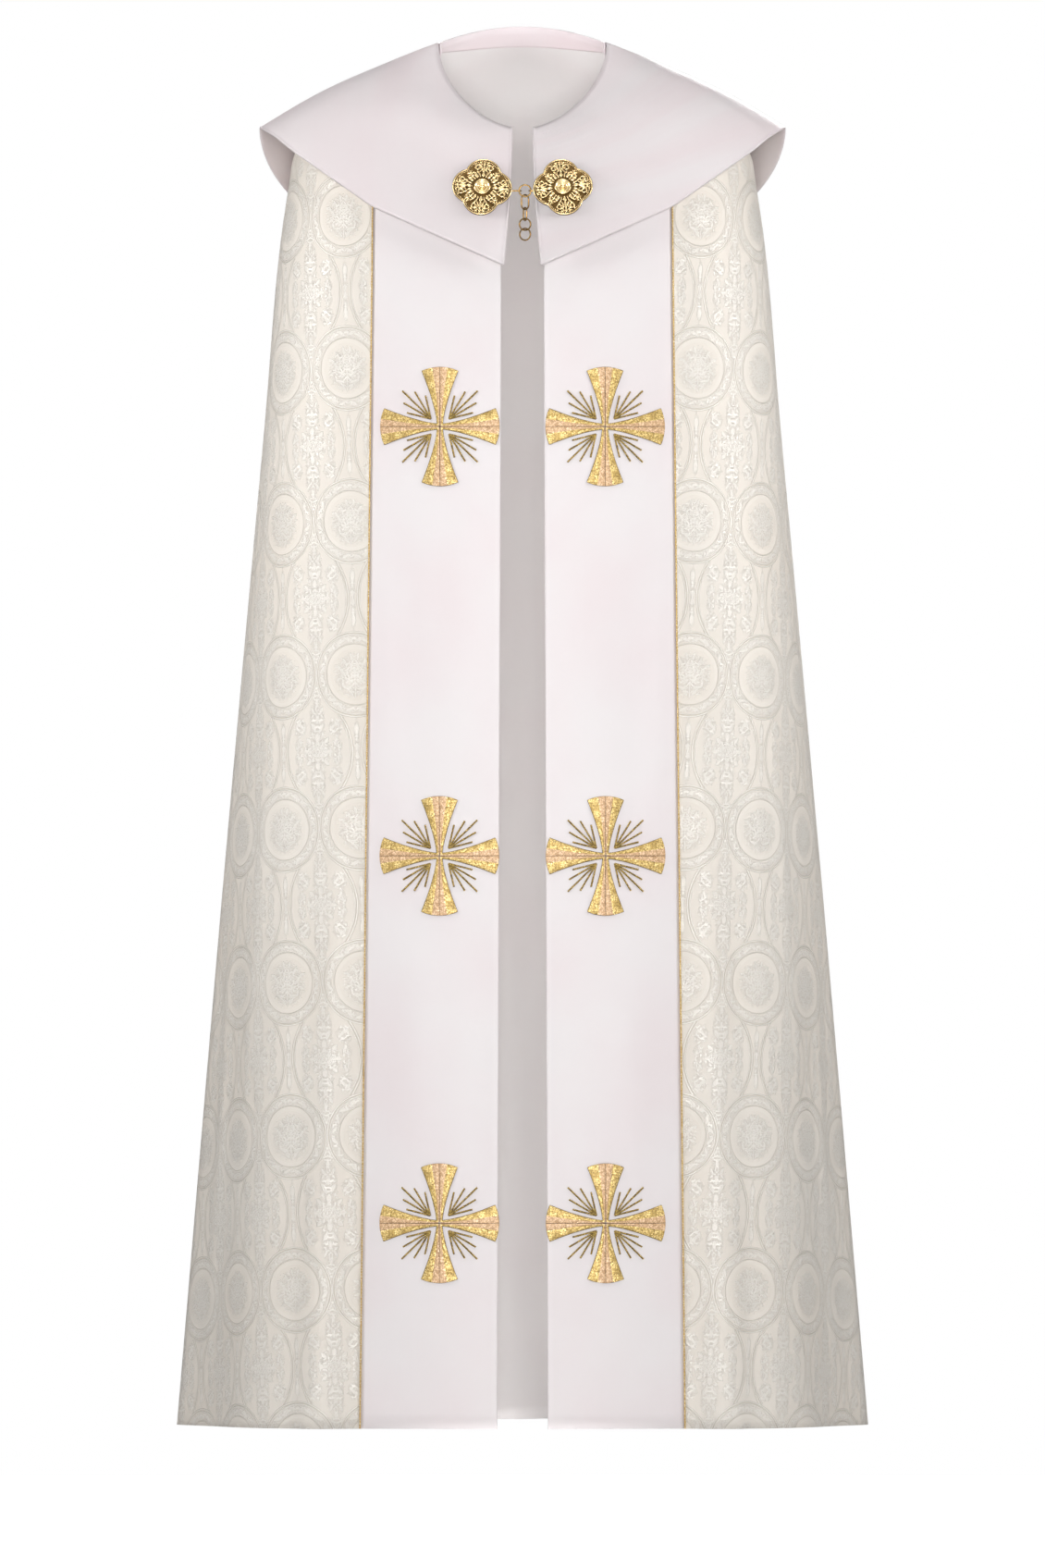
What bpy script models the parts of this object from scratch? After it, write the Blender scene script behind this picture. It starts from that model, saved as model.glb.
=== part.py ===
"""A cope: a long open cape of brocade with two satin front bands, a wide stiff
shoulder collar and a chain clasp, as it hangs on the shoulders.

Metres, +Z up, the front faces -Y. The origin is the middle of the neck, level with
the side points of the neck opening. Heights are measured from there.
"""

import math
from collections import namedtuple

import bmesh
import bpy
import numpy as np
from mathutils import Matrix, Vector

# ---------------------------------------------------------------- driving sizes
HEM_HEIGHT = -1.415
BROCADE_WALL = 0.0016
BAND_WALL = 0.0018
COLLAR_WALL = 0.0024
SEAM_GAP = 0.0003

# The front edges of the two bands and the seams between band and brocade, as
# distances from the middle of the front, at the top of the seam and at the hem.
SEAM_TOP_HEIGHT = -0.166
BAND_INNER_TOP, BAND_INNER_HEM = 0.0216, 0.0258
SEAM_TOP, SEAM_HEM = 0.153, 0.1655

PIPING_RADIUS = 0.0013

# One level cut through the hanging cloth: half its width, its depth in front of and
# behind the neck, and how square its corners are (2 is an ellipse).
Section = namedtuple("Section", "height half_width front_depth back_depth squareness")
SECTIONS = (
    Section(-0.060, 0.2310, 0.1165, 0.1120, 2.60),
    Section(-0.125, 0.2375, 0.1275, 0.1280, 2.65),
    Section(-0.190, 0.2470, 0.1370, 0.1410, 2.65),
    Section(-0.400, 0.2654, 0.1570, 0.1690, 2.60),
    Section(-0.800, 0.2990, 0.1870, 0.2150, 2.50),
    Section(-1.415, 0.3470, 0.2270, 0.2760, 2.40),
)

# The neck edge of the cloth, which the shoulders carry.
NECK_HALF_WIDTH, NECK_FRONT_DEPTH, NECK_BACK_DEPTH = 0.0885, 0.0888, 0.0715
NECK_SIDE_HEIGHT = -0.0015
NECK_FRONT_SLOPE, NECK_BACK_SLOPE = 1.002, 0.255
NECK_FRONT_SQUARENESS = 1.80

# Where the shoulder slope would meet the falling cloth, and where the fall starts,
# at the side, the front and the back.
Ease = namedtuple("Ease", "side front back")
SHELF_HEIGHT = Ease(-0.070, -0.128, -0.060)
FALL_HEIGHT = Ease(-0.125, -0.205, -0.160)

# The folds. place runs round the brocade from the left front seam (0) to the right
# one (1), half_width in the same measure, depth outwards at the hem, and top is the
# height at which the fold begins.
Fold = namedtuple("Fold", "place half_width depth top")
FRONT_FOLDS = (
    Fold(0.024, 0.024, 0.0165, -0.40),
    Fold(0.053, 0.050, 0.0135, -0.40),
    Fold(0.128, 0.050, -0.0120, -0.34),
    Fold(0.182, 0.030, 0.0080, -0.30),
)
BACK_FOLDS = (
    Fold(0.232, 0.027, -0.0210, -0.46),
    Fold(0.269, 0.033, 0.0170, -0.22),
    Fold(0.314, 0.031, -0.0320, -0.34),
    Fold(0.356, 0.025, 0.0120, -0.58),
    Fold(0.393, 0.030, -0.0210, -0.30),
    Fold(0.440, 0.035, 0.0220, -0.24),
    Fold(0.489, 0.031, -0.0290, -0.42),
    Fold(0.531, 0.025, 0.0120, -0.62),
    Fold(0.569, 0.033, -0.0250, -0.28),
    Fold(0.616, 0.034, 0.0210, -0.36),
    Fold(0.660, 0.028, -0.0180, -0.56),
    Fold(0.697, 0.030, 0.0150, -0.30),
    Fold(0.735, 0.030, -0.0300, -0.38),
    Fold(0.771, 0.026, 0.0100, -0.50),
)
FOLDS = FRONT_FOLDS + BACK_FOLDS + tuple(
    Fold(1.0 - f.place, f.half_width, f.depth, f.top) for f in FRONT_FOLDS
)
FOLD_GROWTH = 1.15

# How finely the walls are divided.
SHOULDER_STEPS = (0.0, 0.14, 0.30, 0.48, 0.66, 0.83)
FALL_ROWS = 13
BROCADE_COLUMNS = 96
BAND_COLUMNS = 5
RING_SAMPLES = 1441

# The collar: its neck edge, then its outer edge. In front the edge runs from the
# shoulder tip down to a point by the front opening; behind it is half an ellipse.
COLLAR_NECK_HALF_WIDTH, COLLAR_NECK_FRONT, COLLAR_NECK_BACK = 0.0865, 0.0920, 0.0720
COLLAR_NECK_SIDE_HEIGHT = 0.0038
COLLAR_NECK_FRONT_SLOPE, COLLAR_NECK_BACK_SLOPE = 0.980, 0.253
COLLAR_NECK_GAP_HALF = 0.0120
COLLAR_TIP, COLLAR_FRONT_DEPTH, COLLAR_BACK_DEPTH = 0.269, 0.154, 0.164
COLLAR_TIP_HEIGHT, COLLAR_BACK_DROP = -0.083, 0.146
EdgePoint = namedtuple("EdgePoint", "across height")
COLLAR_FRONT_EDGE = (
    EdgePoint(0.0200, -0.2260),
    EdgePoint(0.1530, -0.1660),
    EdgePoint(0.2350, -0.1080),
    EdgePoint(0.2530, -0.0930),
    EdgePoint(0.2690, -0.0830),
)
COLLAR_CROWN = Ease(0.005, 0.015, 0.019)
COLLAR_FRONT_CORNER_CROWN, COLLAR_BACK_CORNER_CROWN = 0.0135, 0.021
CENTRE_EDGE_SWELL = 0.0045
COLLAR_FRONT_COLUMNS, COLLAR_BACK_COLUMNS, COLLAR_ROWS = 12, 22, 7

# The embroidered crosses on the bands.
CROSS_HEIGHTS = {"top": -0.3925, "middle": -0.8310, "lower": -1.2055}
CROSS_ACROSS_TOP, CROSS_ACROSS_LOWER = 0.0843, 0.0847
CROSS_ARM, CROSS_WAIST, CROSS_END = 0.0608, 0.0028, 0.0185
CROSS_FLARE, CROSS_END_ARC = 1.45, 0.0040
CROSS_WALL = 0.0010
CROSS_ARM_ROWS = 4

# The clasp: two four-lobed medallions joined by wire eyes and a hanging chain.
MEDALLION_ACROSS, MEDALLION_HEIGHT = 0.0412, -0.1491
MEDALLION_RADIUS = 0.0303
LOBE_OFFSET = 0.40
MEDALLION_LIFT = 0.0022
MEDALLION_TURN = math.radians(6.0)
MEDALLION_SPOKES = 32
ReliefStep = namedtuple("ReliefStep", "reach height")
MEDALLION_RELIEF = (
    ReliefStep(1.000, 0.0016),
    ReliefStep(0.975, 0.0034),
    ReliefStep(0.900, 0.0036),
    ReliefStep(0.840, 0.0024),
    ReliefStep(0.640, 0.0040),
    ReliefStep(0.450, 0.0034),
    ReliefStep(0.350, 0.0016),
    ReliefStep(0.300, 0.0048),
    ReliefStep(0.200, 0.0068),
    ReliefStep(0.110, 0.0070),
    ReliefStep(0.070, 0.0090),
)

WIRE_RADIUS = 0.00065
RING_RADIUS = 0.0060
CHAIN_ACROSS, CHAIN_DEPTH = 0.0026, -0.1430
LINK_RADIUS = 0.0046
LINK_LENGTH = 0.0150
SMALL_LINK_LENGTH = 0.0130
SMALL_LINK_RADIUS = 0.0032
CLASP_RING_HEIGHT = -0.1514


# ---------------------------------------------------------------- the cloth's form
def smooth_column(rows, column, heights):
    """Reads one column of a table at the given heights, along a smooth curve."""
    known = np.array([row.height for row in rows])[::-1]
    values = np.array([getattr(row, column) for row in rows])[::-1]
    slopes = np.gradient(values, known)
    heights = np.clip(heights, known[0], known[-1])
    index = np.clip(np.searchsorted(known, heights) - 1, 0, len(known) - 2)
    span = known[index + 1] - known[index]
    part = (heights - known[index]) / span
    squared, cubed = part**2, part**3
    return (
        (2 * cubed - 3 * squared + 1) * values[index]
        + (cubed - 2 * squared + part) * span * slopes[index]
        + (3 * squared - 2 * cubed) * values[index + 1]
        + (cubed - squared) * span * slopes[index + 1]
    )


def eased(ease, turn):
    """Blends a side value into the front or back value round the body."""
    facing = np.cos(turn)
    end = np.where(facing > 0, ease.front, ease.back)
    return ease.side + (end - ease.side) * facing**2


def around(turn, half_width, front_depth, back_depth, squareness):
    """The outline point in plan at a turn from the middle of the front."""
    depth = np.where(np.cos(turn) > 0, front_depth, back_depth)
    across = np.abs(np.sin(turn) / half_width) ** squareness
    along = np.abs(np.cos(turn) / depth) ** squareness
    radius = (across + along) ** (-1.0 / squareness)
    return np.stack([-radius * np.sin(turn), -radius * np.cos(turn)], axis=-1)


def section_point(turn, height):
    plan = around(
        turn,
        smooth_column(SECTIONS, "half_width", height),
        smooth_column(SECTIONS, "front_depth", height),
        smooth_column(SECTIONS, "back_depth", height),
        smooth_column(SECTIONS, "squareness", height),
    )
    return np.concatenate([plan, height[:, None]], axis=1)


def neck_height(side, back, slopes, back_depth):
    """The level of a neck edge: a straight slope in front, an arch behind."""
    front_slope, back_slope = slopes
    return side + np.where(back < 0, front_slope * back, back_slope * back**2 / back_depth)


def neck_point(turn):
    square = np.where(np.cos(turn) > 0, NECK_FRONT_SQUARENESS, 2.0)
    plan = around(turn, NECK_HALF_WIDTH, NECK_FRONT_DEPTH, NECK_BACK_DEPTH, square)
    slopes = NECK_FRONT_SLOPE, NECK_BACK_SLOPE
    height = neck_height(NECK_SIDE_HEIGHT, plan[:, 1], slopes, NECK_BACK_DEPTH)
    return np.concatenate([plan, height[:, None]], axis=1)


def cloth_point(turn, level):
    """A point of the cloth's smooth outside: level 0 is the neck, 1 is the start
    of the fall, 2 is the hem."""
    fall_height = eased(FALL_HEIGHT, turn)
    if level >= 1.0:
        height = fall_height + (HEM_HEIGHT - fall_height) * (level - 1.0)
        return section_point(turn, height)
    start = neck_point(turn)
    corner = section_point(turn, eased(SHELF_HEIGHT, turn))
    end = section_point(turn, fall_height)
    near, middle, far = (1 - level) ** 2, 2 * level * (1 - level), level**2
    return near * start + middle * corner + far * end


def band_edge(height, at_top, at_hem):
    share = (SEAM_TOP_HEIGHT - height) / (SEAM_TOP_HEIGHT - HEM_HEIGHT)
    return at_top + (at_hem - at_top) * share


class Ring:
    """The cloth's outline at one level, measured along its length."""

    def __init__(self, level):
        self.turns = np.linspace(0.0, 2.0 * math.pi, RING_SAMPLES)
        self.points = cloth_point(self.turns, level)
        steps = np.linalg.norm(np.diff(self.points, axis=0), axis=1)
        self.lengths = np.concatenate([[0.0], np.cumsum(steps)])
        self.front_edge = self.mark(level, BAND_INNER_TOP, BAND_INNER_HEM)
        self.seam = self.mark(level, SEAM_TOP, SEAM_HEM)
        self.total = self.lengths[-1]

    def mark(self, level, at_top, at_hem):
        """The length at which the outline reaches a band edge on the left. On the
        shoulders the edge keeps the turn that it has where the fall starts."""
        quarter = RING_SAMPLES // 4
        points = cloth_point(self.turns, max(level, 1.0))[:quarter]
        miss = -points[:, 0] - band_edge(points[:, 2], at_top, at_hem)
        turn = np.interp(0.0, miss, self.turns[:quarter])
        return np.interp(turn, self.turns, self.lengths)

    def at(self, lengths):
        return np.stack(
            [np.interp(lengths, self.lengths, self.points[:, k]) for k in range(3)],
            axis=1,
        )

    def outward(self, lengths):
        """The level direction straight out of the cloth."""
        step = self.total / RING_SAMPLES
        along = self.at(lengths + step) - self.at(lengths - step)
        normal = np.stack([-along[:, 1], along[:, 0], 0 * along[:, 0]], axis=1)
        return normal / np.linalg.norm(normal, axis=1)[:, None]


def fold_depth(place, height):
    """How far the folds push the brocade out of its smooth form."""
    depth = np.zeros(len(place))
    for fold in FOLDS:
        growth = np.clip((fold.top - height) / (fold.top - HEM_HEIGHT), 0.0, 1.0)
        reach = np.clip((place - fold.place) / fold.half_width, -1.0, 1.0)
        depth += fold.depth * growth**FOLD_GROWTH * np.cos(reach * math.pi / 2) ** 2
    return depth


LEVELS = SHOULDER_STEPS + tuple(
    1.0 + (row / FALL_ROWS) ** 1.1 for row in range(FALL_ROWS + 1)
)
RINGS = [Ring(level) for level in LEVELS]


def brocade_row(ring):
    start = ring.seam + SEAM_GAP / 2
    lengths = np.linspace(start, ring.total - start, BROCADE_COLUMNS + 1)
    points = ring.at(lengths)
    place = (lengths - ring.seam) / (ring.total - 2 * ring.seam)
    return points + ring.outward(lengths) * fold_depth(place, points[:, 2])[:, None]


def band_row(ring):
    lengths = np.linspace(ring.front_edge, ring.seam - SEAM_GAP / 2, BAND_COLUMNS + 1)
    return ring.at(lengths)


def band_surface(across, height):
    """A point of the left band's face, below the shoulder, and its normal."""

    def depth_at(distance, level):
        level = np.array([level])
        half_width = smooth_column(SECTIONS, "half_width", level)[0]
        front = smooth_column(SECTIONS, "front_depth", level)[0]
        square = smooth_column(SECTIONS, "squareness", level)[0]
        return -front * (1.0 - (distance / half_width) ** square) ** (1.0 / square)

    step = 0.001
    point = Vector((-across, depth_at(across, height), height))
    rise_across = depth_at(across + step, height) - depth_at(across - step, height)
    rise_up = depth_at(across, height + step) - depth_at(across, height - step)
    normal = Vector((-rise_across, -2 * step, rise_up)).normalized()
    return point, normal


# ---------------------------------------------------------------- scene helpers
def clear_scene():
    for thing in list(bpy.data.objects):
        bpy.data.objects.remove(thing, do_unlink=True)


def make_material(name, colour, roughness, metallic=0.0):
    material = bpy.data.materials.new(name)
    material.use_nodes = True
    shader = material.node_tree.nodes["Principled BSDF"]
    shader.inputs["Base Color"].default_value = (*colour, 1.0)
    shader.inputs["Roughness"].default_value = roughness
    shader.inputs["Metallic"].default_value = metallic
    material.diffuse_color = (*colour, 1.0)
    return material


def add_object(collection, name, data, material):
    thing = bpy.data.objects.new(name, data)
    collection.objects.link(thing)
    thing.data.materials.append(material)
    return thing


def sheet_mesh(name, rows):
    """A mesh through rows of points, each row running round the wearer."""
    mesh = bpy.data.meshes.new(name)
    shape = bmesh.new()
    grid = [[shape.verts.new(point) for point in row] for row in rows]
    for upper, lower in zip(grid, grid[1:]):
        for k in range(len(upper) - 1):
            shape.faces.new((upper[k], upper[k + 1], lower[k + 1], lower[k]))
    shape.normal_update()
    shape.to_mesh(mesh)
    shape.free()
    mesh.shade_smooth()
    return mesh


def add_wall(thing, thickness):
    """Gives an open sheet its thickness, behind its face."""
    wall = thing.modifiers.new("wall", "SOLIDIFY")
    wall.thickness = thickness
    wall.offset = -1.0
    wall.use_even_offset = True


def mirrored(rows):
    return [[(-p[0], p[1], p[2]) for p in reversed(list(row))] for row in rows]


def wire(collection, name, points, radius, material, closed=False):
    """A round wire or cord along points."""
    curve = bpy.data.curves.new(name, "CURVE")
    curve.dimensions = "3D"
    curve.bevel_depth = radius
    curve.bevel_resolution = 1
    curve.use_fill_caps = not closed
    spline = curve.splines.new("POLY")
    spline.points.add(len(points) - 1)
    for slot, point in zip(spline.points, points):
        slot.co = (*point, 1.0)
    spline.use_cyclic_u = closed
    return add_object(collection, name, curve, material)


# ---------------------------------------------------------------- pieces of cloth
def build_brocade(collection, material):
    rows = [brocade_row(ring) for ring in RINGS]
    body = add_object(collection, "brocade_body", sheet_mesh("brocade_body", rows), material)
    add_wall(body, BROCADE_WALL)


def build_bands(collection, material):
    left = [band_row(ring) for ring in RINGS]
    for side, rows in (("left", left), ("right", mirrored(left))):
        name = f"front_band_{side}"
        band = add_object(collection, name, sheet_mesh(name, rows), material)
        add_wall(band, BAND_WALL)


def build_pipings(collection, material):
    """A fine cord along the outside of each seam, from under the collar down."""
    seam = [Vector(ring.at(np.array([ring.seam]))[0]) for ring in RINGS]
    beside = [Vector(ring.at(np.array([ring.seam + 0.002]))[0]) for ring in RINGS]
    left = []
    for k in range(len(SHOULDER_STEPS) - 1, len(RINGS)):
        lower = min(k + 1, len(RINGS) - 1)
        down = seam[lower] - seam[lower - 2]
        out = (beside[k] - seam[k]).cross(down).normalized()
        left.append(seam[k] + out * (PIPING_RADIUS + SEAM_GAP))
    right = [Vector((-p.x, p.y, p.z)) for p in left]
    wire(collection, "piping_left", left, PIPING_RADIUS, material)
    wire(collection, "piping_right", right, PIPING_RADIUS, material)


def collar_neck(angle):
    """The collar's neck edge; the angle runs from the front round the left."""
    in_front = math.cos(angle) > 0
    depth = COLLAR_NECK_FRONT if in_front else COLLAR_NECK_BACK
    power = 2.0 / (NECK_FRONT_SQUARENESS if in_front else 2.0)
    across = -COLLAR_NECK_HALF_WIDTH * math.sin(angle) ** power
    back = -depth * math.copysign(abs(math.cos(angle)) ** power, math.cos(angle))
    slopes = COLLAR_NECK_FRONT_SLOPE, COLLAR_NECK_BACK_SLOPE
    height = neck_height(COLLAR_NECK_SIDE_HEIGHT, back, slopes, COLLAR_NECK_BACK)
    return Vector((across, back, float(height)))


def collar_front_edge(angle):
    across = COLLAR_TIP * math.sin(angle)
    rows = sorted(COLLAR_FRONT_EDGE)
    height = np.interp(across, [r.across for r in rows], [r.height for r in rows])
    return Vector((-across, -COLLAR_FRONT_DEPTH * math.cos(angle), height))


def collar_back_edge(angle):
    across = -COLLAR_TIP * math.sin(angle)
    back = -math.cos(angle)
    height = COLLAR_TIP_HEIGHT - COLLAR_BACK_DROP * back
    return Vector((across, COLLAR_BACK_DEPTH * back, height))


def crowned(start, end, crown, part):
    """A point between two others on a line that bows up and outwards."""
    chord = end - start
    level = Vector((chord.x, chord.y, 0.0))
    bow = Vector((-chord.z * level.x, -chord.z * level.y, level.length**2))
    return start.lerp(end, part) + bow.normalized() * crown * 4 * part * (1 - part)


def collar_column(share):
    """One column of the collar; share 0 is the left front edge, 1 is the left
    shoulder, 2 is the middle of the back."""
    right_angle = math.pi / 2
    if share <= 1.0:
        gap_share = COLLAR_NECK_GAP_HALF / COLLAR_NECK_HALF_WIDTH
        neck_start = math.asin(gap_share ** (NECK_FRONT_SQUARENESS / 2.0))
        edge_start = math.asin(COLLAR_FRONT_EDGE[0].across / COLLAR_TIP)
        neck_angle = neck_start + (right_angle - neck_start) * share
        edge_angle = edge_start + (right_angle - edge_start) * share
        edge = collar_front_edge(edge_angle)
    else:
        neck_angle = edge_angle = right_angle * share
        edge = collar_back_edge(edge_angle)
    corner = COLLAR_FRONT_CORNER_CROWN if share <= 1.0 else COLLAR_BACK_CORNER_CROWN
    crown = float(eased(COLLAR_CROWN, np.array(neck_angle)))
    crown += corner * abs(math.sin(2 * neck_angle))
    column = []
    for row in range(COLLAR_ROWS + 1):
        part = row / COLLAR_ROWS
        point = crowned(collar_neck(neck_angle), edge, crown, part)
        point.x += CENTRE_EDGE_SWELL * math.sin(math.pi * part) * max(0.0, 1 - 3 * share)
        column.append(point)
    return column


def collar_rows():
    shares = [k / COLLAR_FRONT_COLUMNS for k in range(COLLAR_FRONT_COLUMNS)]
    half_back = COLLAR_BACK_COLUMNS // 2
    shares += [1.0 + k / half_back for k in range(half_back + 1)]
    left = [collar_column(share) for share in shares]
    right = [[Vector((-p.x, p.y, p.z)) for p in column] for column in reversed(left[:-1])]
    columns = left + right
    return [list(row) for row in zip(*columns)]


def build_collar(collection, material):
    collar = add_object(collection, "collar", sheet_mesh("collar", collar_rows()), material)
    add_wall(collar, COLLAR_WALL)


# ---------------------------------------------------------------- crosses
def cross_arm_points(direction):
    """Rows of flat points of one arm, from the middle of the cross outwards."""
    rows = []
    side = Vector((-direction.y, direction.x))
    for row in range(CROSS_ARM_ROWS + 1):
        part = row / CROSS_ARM_ROWS
        line = []
        for edge in (-1.0, 0.0, 1.0):
            reach = CROSS_ARM - CROSS_END_ARC * edge**2
            distance = CROSS_WAIST + (reach - CROSS_WAIST) * part
            half = CROSS_WAIST + (CROSS_END - CROSS_WAIST) * part**CROSS_FLARE
            line.append(direction * distance + side * half * edge)
        rows.append(line)
    return rows


def build_crosses(collection, material):
    for place, height in CROSS_HEIGHTS.items():
        across = CROSS_ACROSS_TOP if place == "top" else CROSS_ACROSS_LOWER
        for side, flip in (("left", 1.0), ("right", -1.0)):
            name = f"cross_{side}_{place}"
            mesh = bpy.data.meshes.new(name)
            shape = bmesh.new()

            def raised(flat):
                point, normal = band_surface(across + flat.x, height + flat.y)
                point += normal * (SEAM_GAP + CROSS_WALL)
                return (flip * point.x, point.y, point.z)

            for quarter in range(4):
                angle = quarter * math.pi / 2
                rows = cross_arm_points(Vector((math.cos(angle), math.sin(angle))))
                grid = [[shape.verts.new(raised(p)) for p in line] for line in rows]
                middle = shape.verts.new(raised(Vector((0.0, 0.0))))
                for inner, outer in zip(grid, grid[1:]):
                    for k in range(2):
                        shape.faces.new((inner[k], inner[k + 1], outer[k + 1], outer[k]))
                shape.faces.new((middle, grid[0][1], grid[0][0]))
                shape.faces.new((middle, grid[0][2], grid[0][1]))
            bmesh.ops.remove_doubles(shape, verts=shape.verts[:], dist=0.0001)
            bmesh.ops.recalc_face_normals(shape, faces=shape.faces[:])
            shape.normal_update()
            if shape.faces[0].normal.y > 0:
                bmesh.ops.reverse_faces(shape, faces=shape.faces[:])
            shape.to_mesh(mesh)
            shape.free()
            cross = add_object(collection, name, mesh, material)
            add_wall(cross, CROSS_WALL)


# ---------------------------------------------------------------- clasp
def collar_face(across, height):
    """The collar's outer face straight in front of a place on the left, and its
    normal there."""
    columns = [collar_column(k / 48) for k in range(49)]
    best = None
    for near, far in zip(columns, columns[1:]):
        for k in range(COLLAR_ROWS):
            corner = near[k]
            miss = math.hypot(corner.x + across, corner.z - height)
            if best is None or miss < best[0]:
                normal = (near[k + 1] - corner).cross(far[k] - corner).normalized()
                best = (miss, corner, normal)
    _, corner, normal = best
    if normal.y > 0:
        normal = -normal
    reach = (corner - Vector((-across, 0.0, height))).dot(normal) / normal.y
    return Vector((-across, reach, height)), normal


def medallion_radius(angle, reach):
    """The plate's radius: four round lobes at the rim, a circle at the boss."""
    turn = math.remainder(angle, math.pi / 2)
    lobe_radius = 1.0 - LOBE_OFFSET
    lobe = LOBE_OFFSET * math.cos(turn)
    lobe += math.sqrt(lobe_radius**2 - (LOBE_OFFSET * math.sin(turn)) ** 2)
    return MEDALLION_RADIUS * reach * (1.0 + (lobe - 1.0) * reach)


def medallion_mesh(name):
    """A four-lobed plate with a raised rim, a raised ring inside it and a domed boss."""
    mesh = bpy.data.meshes.new(name)
    shape = bmesh.new()
    angles = [2 * math.pi * k / MEDALLION_SPOKES for k in range(MEDALLION_SPOKES)]

    def loop_at(reach, height):
        radii = [medallion_radius(angle, reach) for angle in angles]
        return [
            shape.verts.new((r * math.cos(angle), r * math.sin(angle), height))
            for r, angle in zip(radii, angles)
        ]

    back = loop_at(1.0, 0.0)
    loops = [back] + [loop_at(step.reach, step.height) for step in MEDALLION_RELIEF]
    for lower, upper in zip(loops, loops[1:]):
        for k in range(MEDALLION_SPOKES):
            n = (k + 1) % MEDALLION_SPOKES
            shape.faces.new((lower[k], lower[n], upper[n], upper[k]))
    shape.faces.new(loops[-1])
    shape.faces.new(list(reversed(back)))
    bmesh.ops.recalc_face_normals(shape, faces=shape.faces[:])
    shape.to_mesh(mesh)
    shape.free()
    mesh.shade_smooth()
    return mesh


def build_clasp(collection, gold):
    point, normal = collar_face(MEDALLION_ACROSS, MEDALLION_HEIGHT)
    for side, flip in (("left", 1.0), ("right", -1.0)):
        out = Vector((flip * normal.x, normal.y, normal.z))
        across = Vector((1.0, 0.0, 0.0))
        up = out.cross(across).normalized()
        across = up.cross(out).normalized()
        frame = Matrix((across, up, out)).transposed().to_4x4()
        place = Vector((flip * point.x, point.y, point.z)) + out * MEDALLION_LIFT
        name = f"medallion_{side}"
        plate = add_object(collection, name, medallion_mesh(name), gold)
        turn = Matrix.Rotation(-flip * MEDALLION_TURN, 4, "Z")
        plate.matrix_world = Matrix.Translation(place) @ frame @ turn


def long_link(length, radius, turn, across, height):
    """Points of an oval link that hangs upright, turned about its length."""
    straight = length / 2 - radius
    points = []
    for k in range(16):
        angle = 2 * math.pi * (k + 0.5) / 16
        out = radius * math.cos(angle)
        up = radius * math.sin(angle) + math.copysign(straight, math.sin(angle))
        points.append((
            across + out * math.cos(turn),
            CHAIN_DEPTH + out * math.sin(turn),
            height + up,
        ))
    return points


def hooked_wire(side, start, tip):
    """Points of a narrow level loop, from a medallion round the ring's wire."""
    half = 0.0018
    bend = tip - side * half
    points = [(start, CHAIN_DEPTH - half, CLASP_RING_HEIGHT)]
    for k in range(7):
        angle = -math.pi / 2 + math.pi * k / 6
        points.append((
            bend + side * half * math.cos(angle),
            CHAIN_DEPTH + half * math.sin(angle),
            CLASP_RING_HEIGHT,
        ))
    points.append((start, CHAIN_DEPTH + half, CLASP_RING_HEIGHT))
    return points


def build_chain(collection, gold):
    play = 2 * WIRE_RADIUS + 0.0006
    height = CLASP_RING_HEIGHT
    ring = long_link(2 * RING_RADIUS, RING_RADIUS, 0.0, CHAIN_ACROSS, height)
    wire(collection, "clasp_ring", ring, WIRE_RADIUS, gold, closed=True)
    links = (
        ("chain_link_oval", LINK_LENGTH, LINK_RADIUS, math.radians(38.0)),
        ("chain_link_small", SMALL_LINK_LENGTH, SMALL_LINK_RADIUS, math.radians(-60.0)),
        ("chain_ring_upper", 2 * RING_RADIUS, RING_RADIUS, math.radians(18.0)),
        ("chain_ring_lower", 2 * RING_RADIUS, RING_RADIUS, math.radians(-24.0)),
    )
    foot = height - RING_RADIUS
    for name, length, radius, turn in links:
        height = foot + play - length / 2
        points = long_link(length, radius, turn, CHAIN_ACROSS, height)
        wire(collection, name, points, WIRE_RADIUS, gold, closed=True)
        foot = height - length / 2
    reach = RING_RADIUS - 0.0019
    left = hooked_wire(1.0, -0.0105, CHAIN_ACROSS - reach)
    right = hooked_wire(-1.0, 0.0107, CHAIN_ACROSS + reach)
    wire(collection, "clasp_eye", left, WIRE_RADIUS, gold)
    wire(collection, "clasp_hook", right, WIRE_RADIUS, gold)


def main():
    clear_scene()
    collection = bpy.data.collections.new("cope")
    bpy.context.scene.collection.children.link(collection)
    brocade = make_material("ivory_brocade", (0.80, 0.77, 0.70), 0.45)
    satin = make_material("white_satin", (0.86, 0.82, 0.83), 0.40)
    gold_thread = make_material("gold_thread", (0.72, 0.52, 0.22), 0.38, 0.6)
    gold_metal = make_material("gold_metal", (0.83, 0.62, 0.30), 0.25, 1.0)
    build_brocade(collection, brocade)
    build_bands(collection, satin)
    build_pipings(collection, gold_thread)
    build_collar(collection, satin)
    build_crosses(collection, gold_thread)
    build_clasp(collection, gold_metal)
    build_chain(collection, gold_metal)


main()
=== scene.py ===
"""The looks of a cope: a jacquard brocade cape, satin front bands with embroidered
crosses, a satin shoulder collar, gold piping and a gilt filigree clasp.

Metres, +Z up, the front faces -Y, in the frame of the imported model.
"""

import math
from collections import namedtuple

import bmesh
import bpy
import numpy as np
from mathutils import Matrix, Vector


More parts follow.
